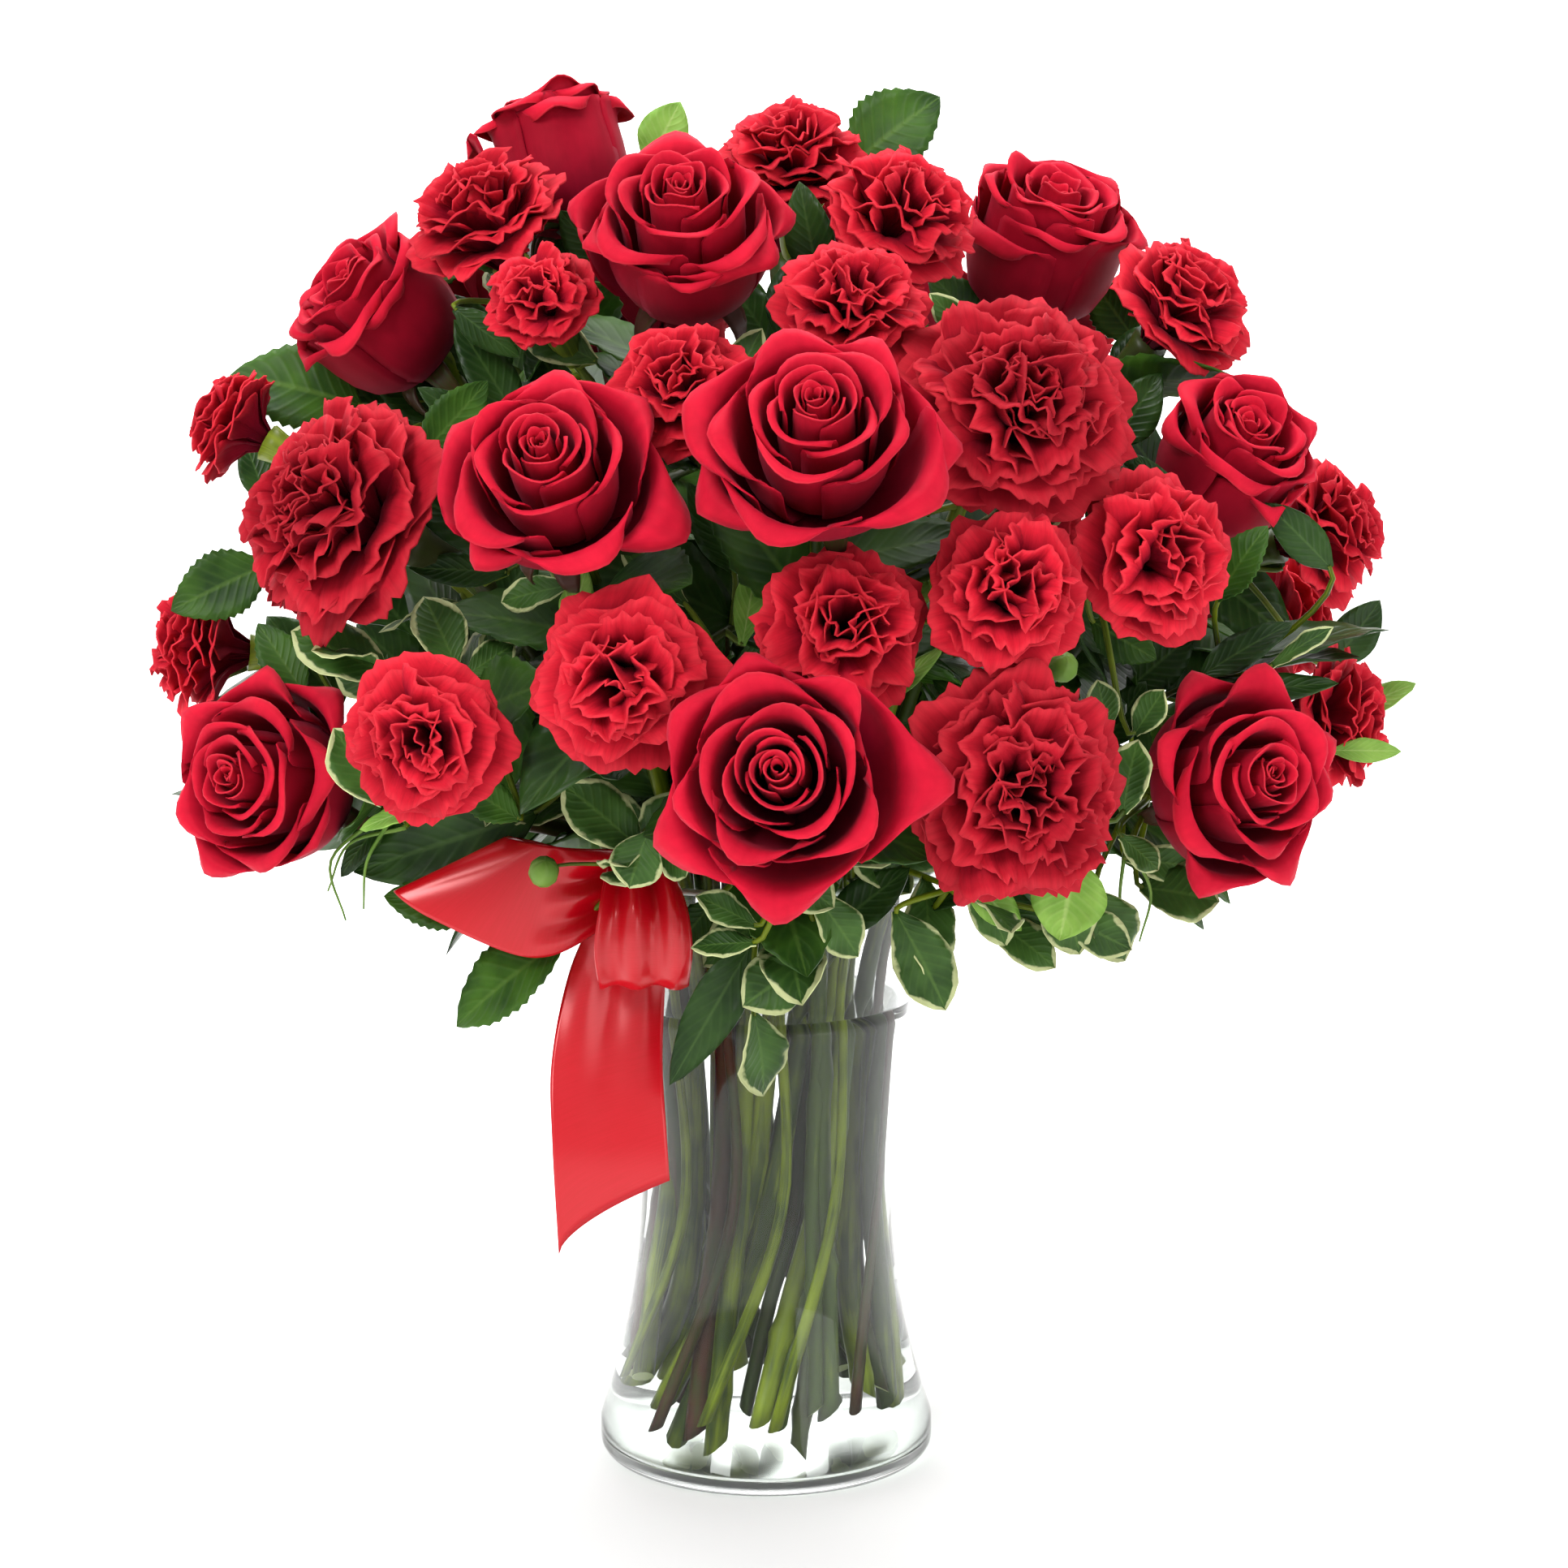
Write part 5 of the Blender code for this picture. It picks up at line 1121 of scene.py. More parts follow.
def tube(places, radii, tone, finish, cut_finish, slope=0.0):
    """A closed tube along places: ring k is place k plus radius k times a turning unit vector.

    The first end is cut on a slope and has its own finish. UV is (share round, metres along times ten).
    """
    tangents = np.gradient(places, axis=0)
    tangents /= np.linalg.norm(tangents, axis=1, keepdims=True)
    side, _ = frame_about(tangents.mean(axis=0))
    sides = side - tangents * (tangents @ side)[:, None]
    sides /= np.linalg.norm(sides, axis=1, keepdims=True)
    ups = np.cross(tangents, sides)
    turn = np.linspace(0.0, math.tau, STEM_SIDES, endpoint=False)
    spokes = np.cos(turn)[None, :, None] * sides[:, None] + np.sin(turn)[None, :, None] * ups[:, None]
    rings = places[:, None] + radii[:, None, None] * spokes
    rings[0] += (slope * radii[0] * np.cos(turn))[:, None] * tangents[0]
    inner = rings[0].mean(axis=0) + 0.8 * (rings[0] - rings[0].mean(axis=0))
    rings = np.concatenate([inner[None], rings])
    steps = np.linalg.norm(np.diff(places, axis=0), axis=1)
    along = np.concatenate([[0.0, 0.0], np.cumsum(steps)]) * UV_PER_METRE
    solid = round_solid(rings, turn / math.tau, along, tone)
    (walls, _), (first, _), (last, _) = solid["faces"]
    solid["faces"] = [(walls[:STEM_SIDES], cut_finish), (walls[STEM_SIDES:], finish), (first, cut_finish),
                      (last, finish)]
    return solid


def stem(way, draw):
    """The tube of one way, with its joints, its cut end and its calyx."""
    kind = way["head"]["kind"] if way["head"] else ("stalk" if way["group"] in SPRIGS else "mini")
    path = way.get("drawn", way["path"])
    count = RINGS_PER_STRETCH * (len(path) - 1) + 1
    places = through_points(path, count)
    joint = np.arange(count) % JOINT_EVERY == draw.integers(JOINT_EVERY)
    radii = way["radius"] * np.where(joint, JOINT_SWELL[kind], 1.0)
    if way["wet"]:
        radii = radii * (1.0 + WATER_SWELL * (1.0 - smooth_step(places[:, 2], SWELL_FULL, SWELL_NONE)))
    if way.get("leaves"):
        radii = radii * np.linspace(1.0, STALK_TAPER, count)
    if way["head"]:
        shape = np.array(CALYX_SHAPE[kind])
        reach = CALYX_LENGTH[kind] * shape[:, :1]
        places = np.vstack([places, way["path"][-1] + way["head"]["facing"] * reach])
        radii = np.concatenate([radii, CALYX_RADIUS[kind] * shape[:, 1]])
    return tube(places, radii, draw.uniform(0.0, 1.0), 0, 1, CUT_SLOPE if way["wet"] else 0.0)


# %% [markdown]
# Leaves are thin shells over a blade's outline. s runs from the stalk to the tip and t from edge to edge;
# the half width is a power of a sine that peaks at the widest place, the blade is folded a little along
# its rib, arches down towards the tip, and its edge waves up and down. Rose leaves are saw-toothed, the
# pittosporum's are small with a crimped cream edge, and the salal's are long, plain and glossy.

# %% Leaves
LEAVES = {
    "pittosporum": dict(length=0.034, width=0.019, wave=0.0016, widest=0.60, teeth=0.0, rows=13),
    "salal": dict(length=0.058, width=0.030, wave=0.0014, widest=0.42, teeth=0.0, rows=13),
    "rose": dict(length=0.050, width=0.031, wave=0.0006, widest=0.45, teeth=0.09, rows=25),
    "young": dict(length=0.034, width=0.020, wave=0.0012, widest=0.50, teeth=0.0, rows=13),
}
LEAF_COLUMNS = 7
LEAF_THICK = 0.0005
LEAF_FOLD, LEAF_ARCH = 0.16, 0.16
LEAF_STALK = 0.0011
RETRY_TURN, LEAF_TILT, TIP_TILT, TILT_STEP = math.radians(47.0), 52.0, 8.0, 8.0
ON_SKIN = 0.0009
LEAF_FINISH = {"rose": 2, "pittosporum": 3, "salal": 4, "young": 5}


def half_width(spec, s, scale):
    """Half the width of a blade at shares s of its length."""
    ease = np.where(s < spec["widest"], s / spec["widest"], (1.0 - s) / (1.0 - spec["widest"]))
    return 0.5 * spec["width"] * scale * np.sin(0.5 * np.pi * np.clip(ease, 0.0, 1.0)) ** 0.8


def blade(kind, base, along, normal, scale, phase, s, t, stretch=1.0):
    """Places on a blade: base + along·s·length + side·t·half width + normal·(fold + wave - arch)."""
    spec = LEAVES[kind]
    along = unit(along)
    normal = unit(normal - along * normal.dot(along))
    side = np.cross(along, normal)
    length = spec["length"] * scale * stretch
    out = np.maximum(half_width(spec, s, scale), LEAF_STALK * (1.0 - s))
    crimp = np.sin(2.6 * np.pi * s + phase + np.sign(t)) + 0.5 * np.sin(7.3 * np.pi * s + 2.0 * phase)
    wave = spec["wave"] * scale * stretch * crimp * np.minimum(1.0, 3.0 * s)
    lift = LEAF_FOLD * out * np.abs(t) ** 1.3 + wave * np.abs(t) ** 1.5
    lift = lift * np.minimum(1.0, 12.0 * (1.0 - s)) - LEAF_ARCH * length * s * s
    notch = 1.0 - spec["teeth"] * (np.arange(s.shape[0])[:, None] % 2) * (np.abs(t) > 0.9)
    across = (out * t * notch)[..., None] * side
    return base + s[..., None] * along * length + across + lift[..., None] * normal


def blade_shares(rows, columns=LEAF_COLUMNS):
    """Shares along a blade, from 0 to 1, and across it, from -1 to 1, for every point of a grid."""
    return np.meshgrid(np.linspace(0.0, 1.0, rows), np.linspace(-1.0, 1.0, columns), indexing="ij")


def leaf(kind, base, along, normal, scale, phase, tone, stretch=1.0, fewer=0):
    """The closed shell of one leaf; one that stands deep inside may have fewer rows."""
    shares = blade_shares(LEAVES[kind]["rows"] - fewer)
    grid = blade(kind, base, along, normal, scale, phase, *shares, stretch)
    return shells(grid[None, :, ::-1], LEAF_THICK, [tone], LEAF_FINISH[kind], 1.35)


def point_on(path, share):
    """A place and a direction on a path, by share of its length."""
    steps = np.diff(path, axis=0)
    lengths = np.linalg.norm(steps, axis=1)
    along = np.concatenate([[0.0], np.cumsum(lengths)])
    target = share * along[-1]
    k = min(int(np.searchsorted(along, target, side="right")) - 1, len(lengths) - 1)
    return path[k] + steps[k] * (target - along[k]) / lengths[k], steps[k] / lengths[k]


def tries(way, kind, count, start, end, draw, attempts=14):
    """The leaves that may stand on a way: for each place, the turns, tilts and sizes to try in order."""
    spin = draw.uniform(0.0, math.tau)
    for k in range(count):
        share = end if count == 1 else start + (end - start) * k / (count - 1)
        place, along = point_on(way["path"], share)
        side, up = frame_about(along)
        spin += GOLDEN_ANGLE
        last = kind != "rose" and k == count - 1

        def candidates():
            """The choices for this place, each as what a blade is made from."""
            for attempt in range(attempts):
                angle = spin + RETRY_TURN * attempt
                tilt = math.radians(TIP_TILT if last else LEAF_TILT + TILT_STEP * (attempt % 3))
                out = math.cos(angle) * side + math.sin(angle) * up
                way_out = math.cos(tilt) * along + math.sin(tilt) * out
                face_up = unit(0.7 * UP + 0.6 * unit(place - DOME_CENTRE) + 0.5 * along)
                scale = draw.uniform(0.85, 1.12) * (0.93 ** (attempt // 5))
                phase = draw.uniform(0.0, math.tau)
                if way_out.dot(face_up) <= 0.94:
                    yield kind, place, way_out, face_up, scale, phase
        yield candidates()


def lies_on(tree, choice):
    """Whether the tip of a leaf and the middle of its rib lie on the skin of the solids."""
    kind, place, way_out, face_up, scale, phase = choice
    way_out = unit(way_out)
    normal = unit(face_up - way_out * face_up.dot(way_out))
    length = LEAVES[kind]["length"] * scale
    tip, middle = (place + length * (s * way_out - LEAF_ARCH * s * s * normal) for s in (1.0, 0.5))
    return all(tree.find_nearest(point.tolist(), ON_SKIN)[0] is not None for point in (tip, middle))


greens = {group: [] for group in [*BUNDLES, *SPRIGS]}
green_draw = np.random.default_rng(21)
for way in ways:
    greens[way["group"]].append(stem(way, green_draw))
inner_draw = np.random.default_rng(31)
for way in inner_ways:
    greens[way["group"]].append(stem(way, inner_draw))
found = []
for number, way in enumerate(ways):
    if "leaves" in way:
        plan = (way["kind"], way["leaves"], 0.62, 0.985)
    elif way["name"] in ROSE_LEAVES:
        plan = ("rose", ROSE_LEAVES[way["name"]], 0.66, 0.90)
    else:
        continue
    tree = node_tree(way["group"])
    for candidates in tries(way, *plan, random.Random(500 + number)):
        for choice in candidates:
            if lies_on(tree, choice):
                found.append(choice)
                greens[way["group"]].append(leaf(*choice, green_draw.uniform(0.8, 1.15)))
                break
print("stems", len(ways), "leaves found on the solids", len(found))

# %% [markdown]
# The gaps between the blooms are full of leaves. Those that can be told apart in the photo are listed by
# the pixels of their base and tip and by how far back they are; a sight line from the camera gives the
# two places. Each is shifted along its sight line until it clears the blooms, the bow and the
# glass, and a short twig joins its base to the nearest stem, so that it hangs on something.

# %% Leaves that the photo shows
# Kind, pixels across and down of the base and of the tip, depth in millimetres behind the vase's axis
# (less than nothing is in front), and width as a share of the usual width
LEAVES_SEEN = [
    ("rose", 1048, 205, 1157, 120, 10, 1.35), ("rose", 445, 500, 285, 462, -10, 1.2),
    ("rose", 330, 695, 212, 752, -20, 1.1), ("young", 798, 205, 838, 126, 0, 1.2),
    ("salal", 1010, 345, 985, 225, -45, 1.0), ("rose", 652, 318, 578, 322, -36, 0.9),
    ("salal", 640, 525, 560, 395, -40, 0.8), ("salal", 600, 535, 515, 478, -40, 0.8),
    ("pittosporum", 735, 445, 640, 395, -60, 1.0), ("pittosporum", 900, 490, 938, 405, -80, 1.0),
    ("salal", 650, 680, 495, 605, -80, 0.8), ("salal", 625, 705, 505, 700, -80, 0.7),
    ("pittosporum", 562, 822, 522, 736, -108, 1.3), ("pittosporum", 480, 835, 360, 778, -95, 1.1),
    ("pittosporum", 575, 832, 634, 794, -105, 1.1), ("pittosporum", 472, 992, 412, 898, -118, 1.2),
    ("pittosporum", 790, 1046, 694, 966, -122, 1.1), ("pittosporum", 798, 1026, 776, 1094, -128, 1.75),
    ("pittosporum", 806, 1030, 846, 1080, -124, 1.6), ("pittosporum", 812, 1032, 905, 1046, -116, 0.8),
    ("pittosporum", 932, 1142, 858, 1104, -112, 0.9), ("pittosporum", 932, 1162, 852, 1168, -112, 0.9),
    ("pittosporum", 1003, 1178, 916, 1240, -100, 1.3), ("pittosporum", 928, 1248, 946, 1352, -96, 1.2),
    ("pittosporum", 1102, 1122, 1166, 1244, -92, 1.0), ("salal", 930, 1155, 826, 1336, -90, 0.6),
    ("young", 1188, 1078, 1258, 1146, -100, 0.8), ("pittosporum", 1296, 1068, 1332, 1176, -100, 1.1),
    ("pittosporum", 1305, 1128, 1394, 1170, -90, 1.0), ("pittosporum", 1404, 1094, 1502, 1110, -72, 1.5),
    ("pittosporum", 1388, 1058, 1480, 1068, -70, 0.9), ("pittosporum", 1215, 1128, 1300, 1192, -85, 1.0),
    ("pittosporum", 955, 1065, 1028, 1118, -120, 1.2), ("pittosporum", 1040, 1062, 1106, 1004, -112, 1.2),
    ("pittosporum", 1002, 1100, 1062, 1180, -104, 1.0), ("pittosporum", 1385, 1002, 1402, 912, -112, 1.2),
    ("pittosporum", 1365, 900, 1352, 838, -105, 1.2), ("pittosporum", 1398, 905, 1434, 850, -105, 1.1),
    ("pittosporum", 1165, 682, 1322, 618, -105, 0.6), ("rose", 1500, 740, 1560, 648, -80, 1.0),
    ("salal", 1478, 835, 1592, 768, -80, 0.7), ("salal", 1500, 858, 1648, 842, -70, 0.5),
    ("pittosporum", 1565, 822, 1642, 772, -80, 0.5), ("young", 1114, 760, 1136, 700, -116, 1.2),
    ("young", 700, 785, 722, 702, -108, 0.8), ("pittosporum", 700, 722, 618, 742, -100, 0.9),
    ("rose", 1345, 765, 1424, 812, -80, 1.1), ("young", 1650, 885, 1744, 842, -40, 0.6),
    ("young", 1640, 925, 1726, 926, -45, 0.6), ("rose", 696, 1158, 564, 1264, -70, 1.15),
    ("rose", 600, 1125, 474, 1104, -66, 0.9), ("salal", 662, 1000, 438, 1074, -56, 0.9),
    ("salal", 905, 705, 848, 595, -80, 0.8), ("young", 914, 795, 934, 685, -95, 0.6),
    ("pittosporum", 845, 745, 765, 678, -95, 0.8), ("young", 1068, 872, 1162, 798, -112, 0.4),
    ("pittosporum", 1205, 425, 1146, 362, -70, 0.8), ("rose", 375, 855, 318, 768, -60, 0.9),
    ("young", 525, 992, 444, 1022, -100, 0.5), ("pittosporum", 1380, 1030, 1428, 1072, -95, 1.0),
    ("salal", 1240, 905, 1150, 838, -95, 0.7), ("salal", 1450, 640, 1400, 560, -80, 0.9),
    ("salal", 1100, 640, 1185, 560, -80, 0.8), ("salal", 700, 800, 640, 720, -85, 0.8),
    ("salal", 1370, 470, 1440, 400, 0, 1.2), ("salal", 850, 860, 890, 770, -95, 0.9),
    ("salal", 560, 590, 480, 480, 20, 1.3), ("salal", 420, 870, 330, 760, 10, 1.3),
    ("salal", 360, 900, 420, 780, 30, 1.3), ("salal", 520, 800, 440, 700, 30, 1.2),
    ("salal", 1480, 700, 1590, 790, 30, 1.2), ("salal", 1400, 960, 1500, 860, 20, 1.2),
    ("salal", 480, 1000, 420, 1080, -60, 0.7), ("salal", 620, 480, 540, 360, 10, 1.2),
    ("salal", 960, 420, 1010, 300, -10, 1.1), ("salal", 1340, 640, 1420, 560, 10, 1.2),
    ("rose", 520, 360, 600, 270, 0, 1.1), ("salal", 1640, 820, 1700, 740, 10, 1.1),
    ("salal", 260, 860, 330, 940, 10, 1.2), ("salal", 330, 620, 300, 540, 20, 1.0),
    ("salal", 560, 380, 640, 440, -45, 0.8), ("rose", 1140, 430, 1090, 350, -60, 0.9),
    ("salal", 1640, 700, 1560, 620, -60, 0.9), ("rose", 520, 560, 600, 470, -60, 0.9),
    ("salal", 1060, 900, 1180, 960, -100, 0.8), ("rose", 1420, 880, 1480, 960, -70, 0.9),
    ("rose", 640, 1010, 560, 960, -90, 0.9), ("salal", 1020, 1150, 1120, 1070, -85, 0.9),
    ("rose", 880, 1110, 820, 1180, -80, 0.9), ("salal", 1150, 1120, 1240, 1060, -80, 0.8),
    ("young", 1324, 1056, 1306, 1158, -98, 1.6), ("pittosporum", 1350, 1098, 1388, 1184, -88, 1.25),
    ("pittosporum", 1196, 1058, 1240, 1166, -98, 0.8), ("salal", 1190, 1090, 1290, 1150, -84, 0.9),
    ("salal", 575, 690, 500, 610, 0, 1.2), ("salal", 530, 850, 440, 770, -20, 1.2),
    ("salal", 600, 765, 660, 680, -30, 1.2), ("salal", 630, 500, 560, 410, -10, 1.1),
    ("salal", 540, 520, 460, 450, -10, 1.1), ("salal", 850, 630, 790, 540, -40, 1.2),
    ("salal", 760, 340, 690, 260, 0, 1.1), ("salal", 1370, 550, 1430, 460, -20, 1.2),
    ("salal", 1390, 850, 1470, 780, -40, 1.2), ("salal", 1360, 920, 1410, 840, -40, 1.1),
    ("salal", 490, 530, 410, 450, 10, 1.2), ("salal", 710, 350, 630, 265, 10, 1.2),
    ("salal", 710, 500, 650, 415, 10, 1.2), ("salal", 590, 510, 505, 450, 10, 1.2),
    ("salal", 960, 440, 895, 345, 0, 1.2), ("salal", 1210, 410, 1145, 335, 10, 1.2),
    ("salal", 1430, 590, 1365, 505, 0, 1.2), ("salal", 1190, 640, 1120, 560, -30, 1.1),
    ("salal", 1580, 700, 1505, 620, 0, 1.2), ("rose", 1400, 420, 1345, 345, 10, 1.1),
]
SHIFTS = [0, 6, -6, 12, -12, 18, 26, 34, 44, 56]
camera_up = np.array([0.0, math.sin(CAMERA_TILT), math.cos(CAMERA_TILT)])
camera_ahead = np.array([0.0, math.cos(CAMERA_TILT), -math.sin(CAMERA_TILT)])
camera_right = np.array([1.0, 0.0, 0.0])
solid_blooms = node_tree(*heads, "vase", "ribbon_bow")


def sight(across, down, depth):
    """Where the camera's sight line through a pixel of the photo meets the upright plane y = depth."""
    half = 0.5 * PICTURE_PIXELS
    way = camera_ahead * FOCAL_PIXELS + camera_right * (across - half) + camera_up * (half - down)
    place = np.array(CAMERA_PLACE)
    return place + way * (depth - place[1]) / way[1]


def grid_tree(grid):
    """A search tree of one grid."""
    rows, columns, _ = grid.shape
    faces = quads(np.arange(rows * columns).reshape(rows, columns))
    return BVHTree.FromPolygons(grid.reshape(-1, 3).tolist(), faces.tolist())


def coarse(choice, stretch=1.0):
    """A coarse grid of a leaf, to test the room that it has."""
    return blade(*choice, *blade_shares(7, 3), stretch)


ANCHOR_SHARES = np.linspace(0.3, 0.97, 24)
LOWEST_ANCHOR = 0.207
TWIG_POINTS = 9
anchors = np.array([point_on(way["path"], share)[0] for way in ways for share in ANCHOR_SHARES])
anchor_ways = np.repeat(np.arange(len(ways)), len(ANCHOR_SHARES))
dry = anchors[:, 2] > LOWEST_ANCHOR
anchors, anchor_ways = anchors[dry], anchor_ways[dry]


def hang(base, along, thick=1.0):
    """A thin twig from the nearest stem to a leaf's base, and the group that the stem belongs to.

    thick is the share of a leaf's twig that it is as thick as.
    """
    nearest = np.linalg.norm(anchors - base, axis=1).argmin()
    start, group = anchors[nearest], ways[anchor_ways[nearest]]["group"]
    span = np.linalg.norm(base - start)
    rise = unit(start - DOME_CENTRE + 0.02 * UP)
    path = hermite(start, rise * span * 0.7, base + along * 0.001, along * span * 0.7, TWIG_POINTS)
    return group, tube(path, thick * np.linspace(0.0012, 0.0008, TWIG_POINTS), 0.2, 0, 0)


clear_leaves = 0
for kind, base_x, base_y, tip_x, tip_y, depth, wide in LEAVES_SEEN:
    for shift in SHIFTS:
        deep = MM * (depth + shift)
        base = sight(base_x, base_y, deep)
        tip = sight(tip_x, tip_y, deep + green_draw.uniform(-0.004, 0.008))
        along = tip - base
        scale = wide * np.linalg.norm(along) / LEAVES[kind]["length"]
        to_camera = unit(np.array(CAMERA_PLACE) - base)
        normal = unit(to_camera + 0.35 * UP + 0.25 * green_draw.standard_normal(3))
        raised = along + LEAF_ARCH * np.linalg.norm(along) * normal
        choice = (kind, base, raised, normal, scale, green_draw.uniform(0, 6))
        if not solid_blooms.overlap(grid_tree(coarse(choice, 1.0 / wide))):
            clear_leaves += 1
            break
    group, twig = hang(base, unit(along))
    greens[group] += [leaf(*choice, green_draw.uniform(0.85, 1.2), 1.0 / wide), twig]
print("leaves placed by the photo", len(LEAVES_SEEN), "clear of the blooms", clear_leaves)

# %% [markdown]
# Two green buds stand out between the blooms, and thin wisps of a stalk hang down at both sides. They are
# placed by the pixels of the photo too, and each hangs on the nearest stem.

# %% Buds and wisps
# A bud's pixels across and down, its depth and its width in millimetres; a wisp's three pixels and its depth
BUDS = [(670, 1074, -92, 9.5), (1310, 822, -112, 9.0)]
WISPS = [((470, 1005), (408, 1060), (426, 1134), -78), ((480, 1012), (452, 1062), (448, 1120), -82),
         ((500, 1020), (430, 1040), (404, 1098), -74), ((1395, 1050), (1418, 1100), (1404, 1160), -84),
         ((1385, 1055), (1380, 1110), (1392, 1148), -80)]
BUD_ROWS, WISP_POINTS = 13, 13
BUD_AXIS = np.array([0.1, -0.5, 0.6])
BUD_TONE, WISP_TONE = 0.72, 0.62
YOUNG = LEAF_FINISH["young"]


def bud(place, wide):
    """A ball, a little longer than wide, with a small navel: its radius is a sine of the way along it."""
    polar = np.linspace(0.06, math.pi - 0.06, BUD_ROWS)
    places = place - np.outer(np.cos(polar), 0.55 * wide * unit(BUD_AXIS))
    return tube(places, 0.5 * wide * np.sin(polar), BUD_TONE, YOUNG, YOUNG)


for across, down, depth, wide in BUDS:
    place = sight(across, down, MM * depth)
    group, twig = hang(place, unit(place - DOME_CENTRE - 0.3 * UP), 0.6)
    greens[group] += [bud(place, MM * wide), twig]
for *stations, depth in WISPS:
    path = np.array([sight(*pixel, MM * depth) for pixel in stations])
    group, twig = hang(path[0], unit(path[1] - path[0]))
    radii = np.linspace(0.0007, 0.0003, WISP_POINTS)
    wisp = tube(through_points(path, WISP_POINTS), radii, WISP_TONE, YOUNG, YOUNG)
    greens[group] += [wisp, twig]
print("buds", len(BUDS), "wisps", len(WISPS))

# %% [markdown]
# Deeper in, and at the back, more leaves stand on the stems themselves, where there is room for them
# between the blooms. Their tone is lower than that of the other leaves, as painted shade deep in the bouquet,
# and they make the dark ground that the red stands out from.

# %% Leaves between the blooms
FILL_KINDS = {"rose": "rose", "carnation": "pittosporum", "pittosporum": "pittosporum", "salal": "salal"}
LOWEST_LEAF = 0.212
filled = 0
for number, way in enumerate(ways):
    family = way["group"].split("_")[0]
    leaves = 3 if "leaves" in way else (6 if way["wet"] else 2)
    kind = ("salal", "rose", "pittosporum")[number % 3] if family == "carnation" else FILL_KINDS[family]
    start = 0.60 if way["wet"] else 0.25
    for candidates in tries(way, kind, leaves, start, 0.93, random.Random(900 + number), 9):
        for choice in candidates:
            if choice[1][2] > LOWEST_LEAF and not solid_blooms.overlap(grid_tree(coarse(choice))):
                # These leaves get a lower tone than the others: painted shade deep in the bouquet.
                greens[way["group"]].append(leaf(*choice, green_draw.uniform(0.6, 0.95), 1.0, 4))
                filled += 1
                break
print("leaves between the blooms", filled)

# %% [markdown]
# Sepals are the five narrow green points under a rose. They have let go of the open bloom and curve out
# and back along the hip.

# %% Sepals
SEPALS, SEPAL_ROWS, SEPAL_COLUMNS = 5, 9, 5
SEPAL_WIDE, SEPAL_THICK, HIP = 0.0042, 0.0006, 0.006


def sepals(head):
    """Five narrow shells round the hip: they leave it along the petals, then roll back towards the stem."""
    s, t = blade_shares(SEPAL_ROWS, SEPAL_COLUMNS)
    grids = []
    for k in range(SEPALS):
        turn = math.tau * k / SEPALS + 0.4 * green_draw.standard_normal()
        length = 0.5 * head["size"] * green_draw.uniform(0.52, 0.72)
        roll = green_draw.uniform(1.6, 2.6)
        out = HIP + length * np.sin(0.9 * roll * s) / roll * 1.1
        up = 0.001 + length * (np.cos(roll * s) - 1.0) / roll + 0.003 * np.sin(np.pi * s)
        wide = SEPAL_WIDE * np.sin(np.pi * np.clip(0.25 + 0.75 * s, 0.0, 1.0)) ** 0.8 * t
        grid = np.stack([out * np.cos(turn) - wide * np.sin(turn), out * np.sin(turn) + wide * np.cos(turn),
                         up + 0.15 * np.abs(wide)], axis=-1)
        grids.append(place_bloom(head, grid))
    return shells(np.array(grids), SEPAL_THICK, green_draw.uniform(0.8, 1.1, SEPALS), 0)


for head in heads.values():
    if head["kind"] == "rose":
        greens[head["bunch"]].append(sepals(head))

# %% [markdown]
# Greens are never one green. A leaf is darker between its veins and paler along its rib, its underside is
# lighter, and the pittosporum carries an uneven cream margin. Stems go from fresh green to brown-mauve,
# each by its own share, with long streaks.

# %% Finishes of the greens
SIDE_VEINS, VEIN_SLANT, VEIN_SHARPNESS = 9.0, 5.0, 6.0


def leaf_finish(name, deep, fresh, rib, margin=None, gloss=0.46):
    """A leaf: side veins run out from the rib at a slant, and a margin colour may follow the edge."""
    made, tree, shader = new_finish(name, Roughness=gloss, Specular_IOR_Level=0.17)
    uv, place, tone = surface_of(tree)
    parts = add(tree, "ShaderNodeSeparateXYZ", {"Vector": uv})
    across, along = parts.outputs["X"], parts.outputs["Y"]
    off = math_of(tree, "ABSOLUTE", math_of(tree, "SUBTRACT", across, 0.5))
    slant = math_of(tree, "SUBTRACT", math_of(tree, "MULTIPLY", along, SIDE_VEINS),
                    math_of(tree, "MULTIPLY", off, VEIN_SLANT))
    waves = math_of(tree, "ABSOLUTE", math_of(tree, "SINE", math_of(tree, "MULTIPLY", slant, math.pi)))
    veins = math_of(tree, "POWER", waves, VEIN_SHARPNESS)
    blotches = spread(tree, noise(tree, place, 70.0, 4.0), 0.35, 0.65)
    colour = mix(tree, blotches, (*deep, 1.0), (*fresh, 1.0))
    colour = mix(tree, math_of(tree, "MULTIPLY", veins, 0.14), colour, (*rib, 1.0))
    colour = mix(tree, spread(tree, off, 0.012, 0.045, 0.55, 0.0), colour, (*rib, 1.0))
    if margin:
        ragged = math_of(tree, "MULTIPLY", noise(tree, place, 150.0, 4.0), 0.34)
        near_tip = math_of(tree, "MULTIPLY", math_of(tree, "POWER", along, 8.0), 0.45)
        edge = math_of(tree, "ADD", math_of(tree, "ADD", off, near_tip), ragged)
        colour = mix(tree, spread(tree, edge, 0.60, 0.65), colour, (*margin, 1.0))
    coat(tree, shader, colour, tone, veins, 0.3)
    return made


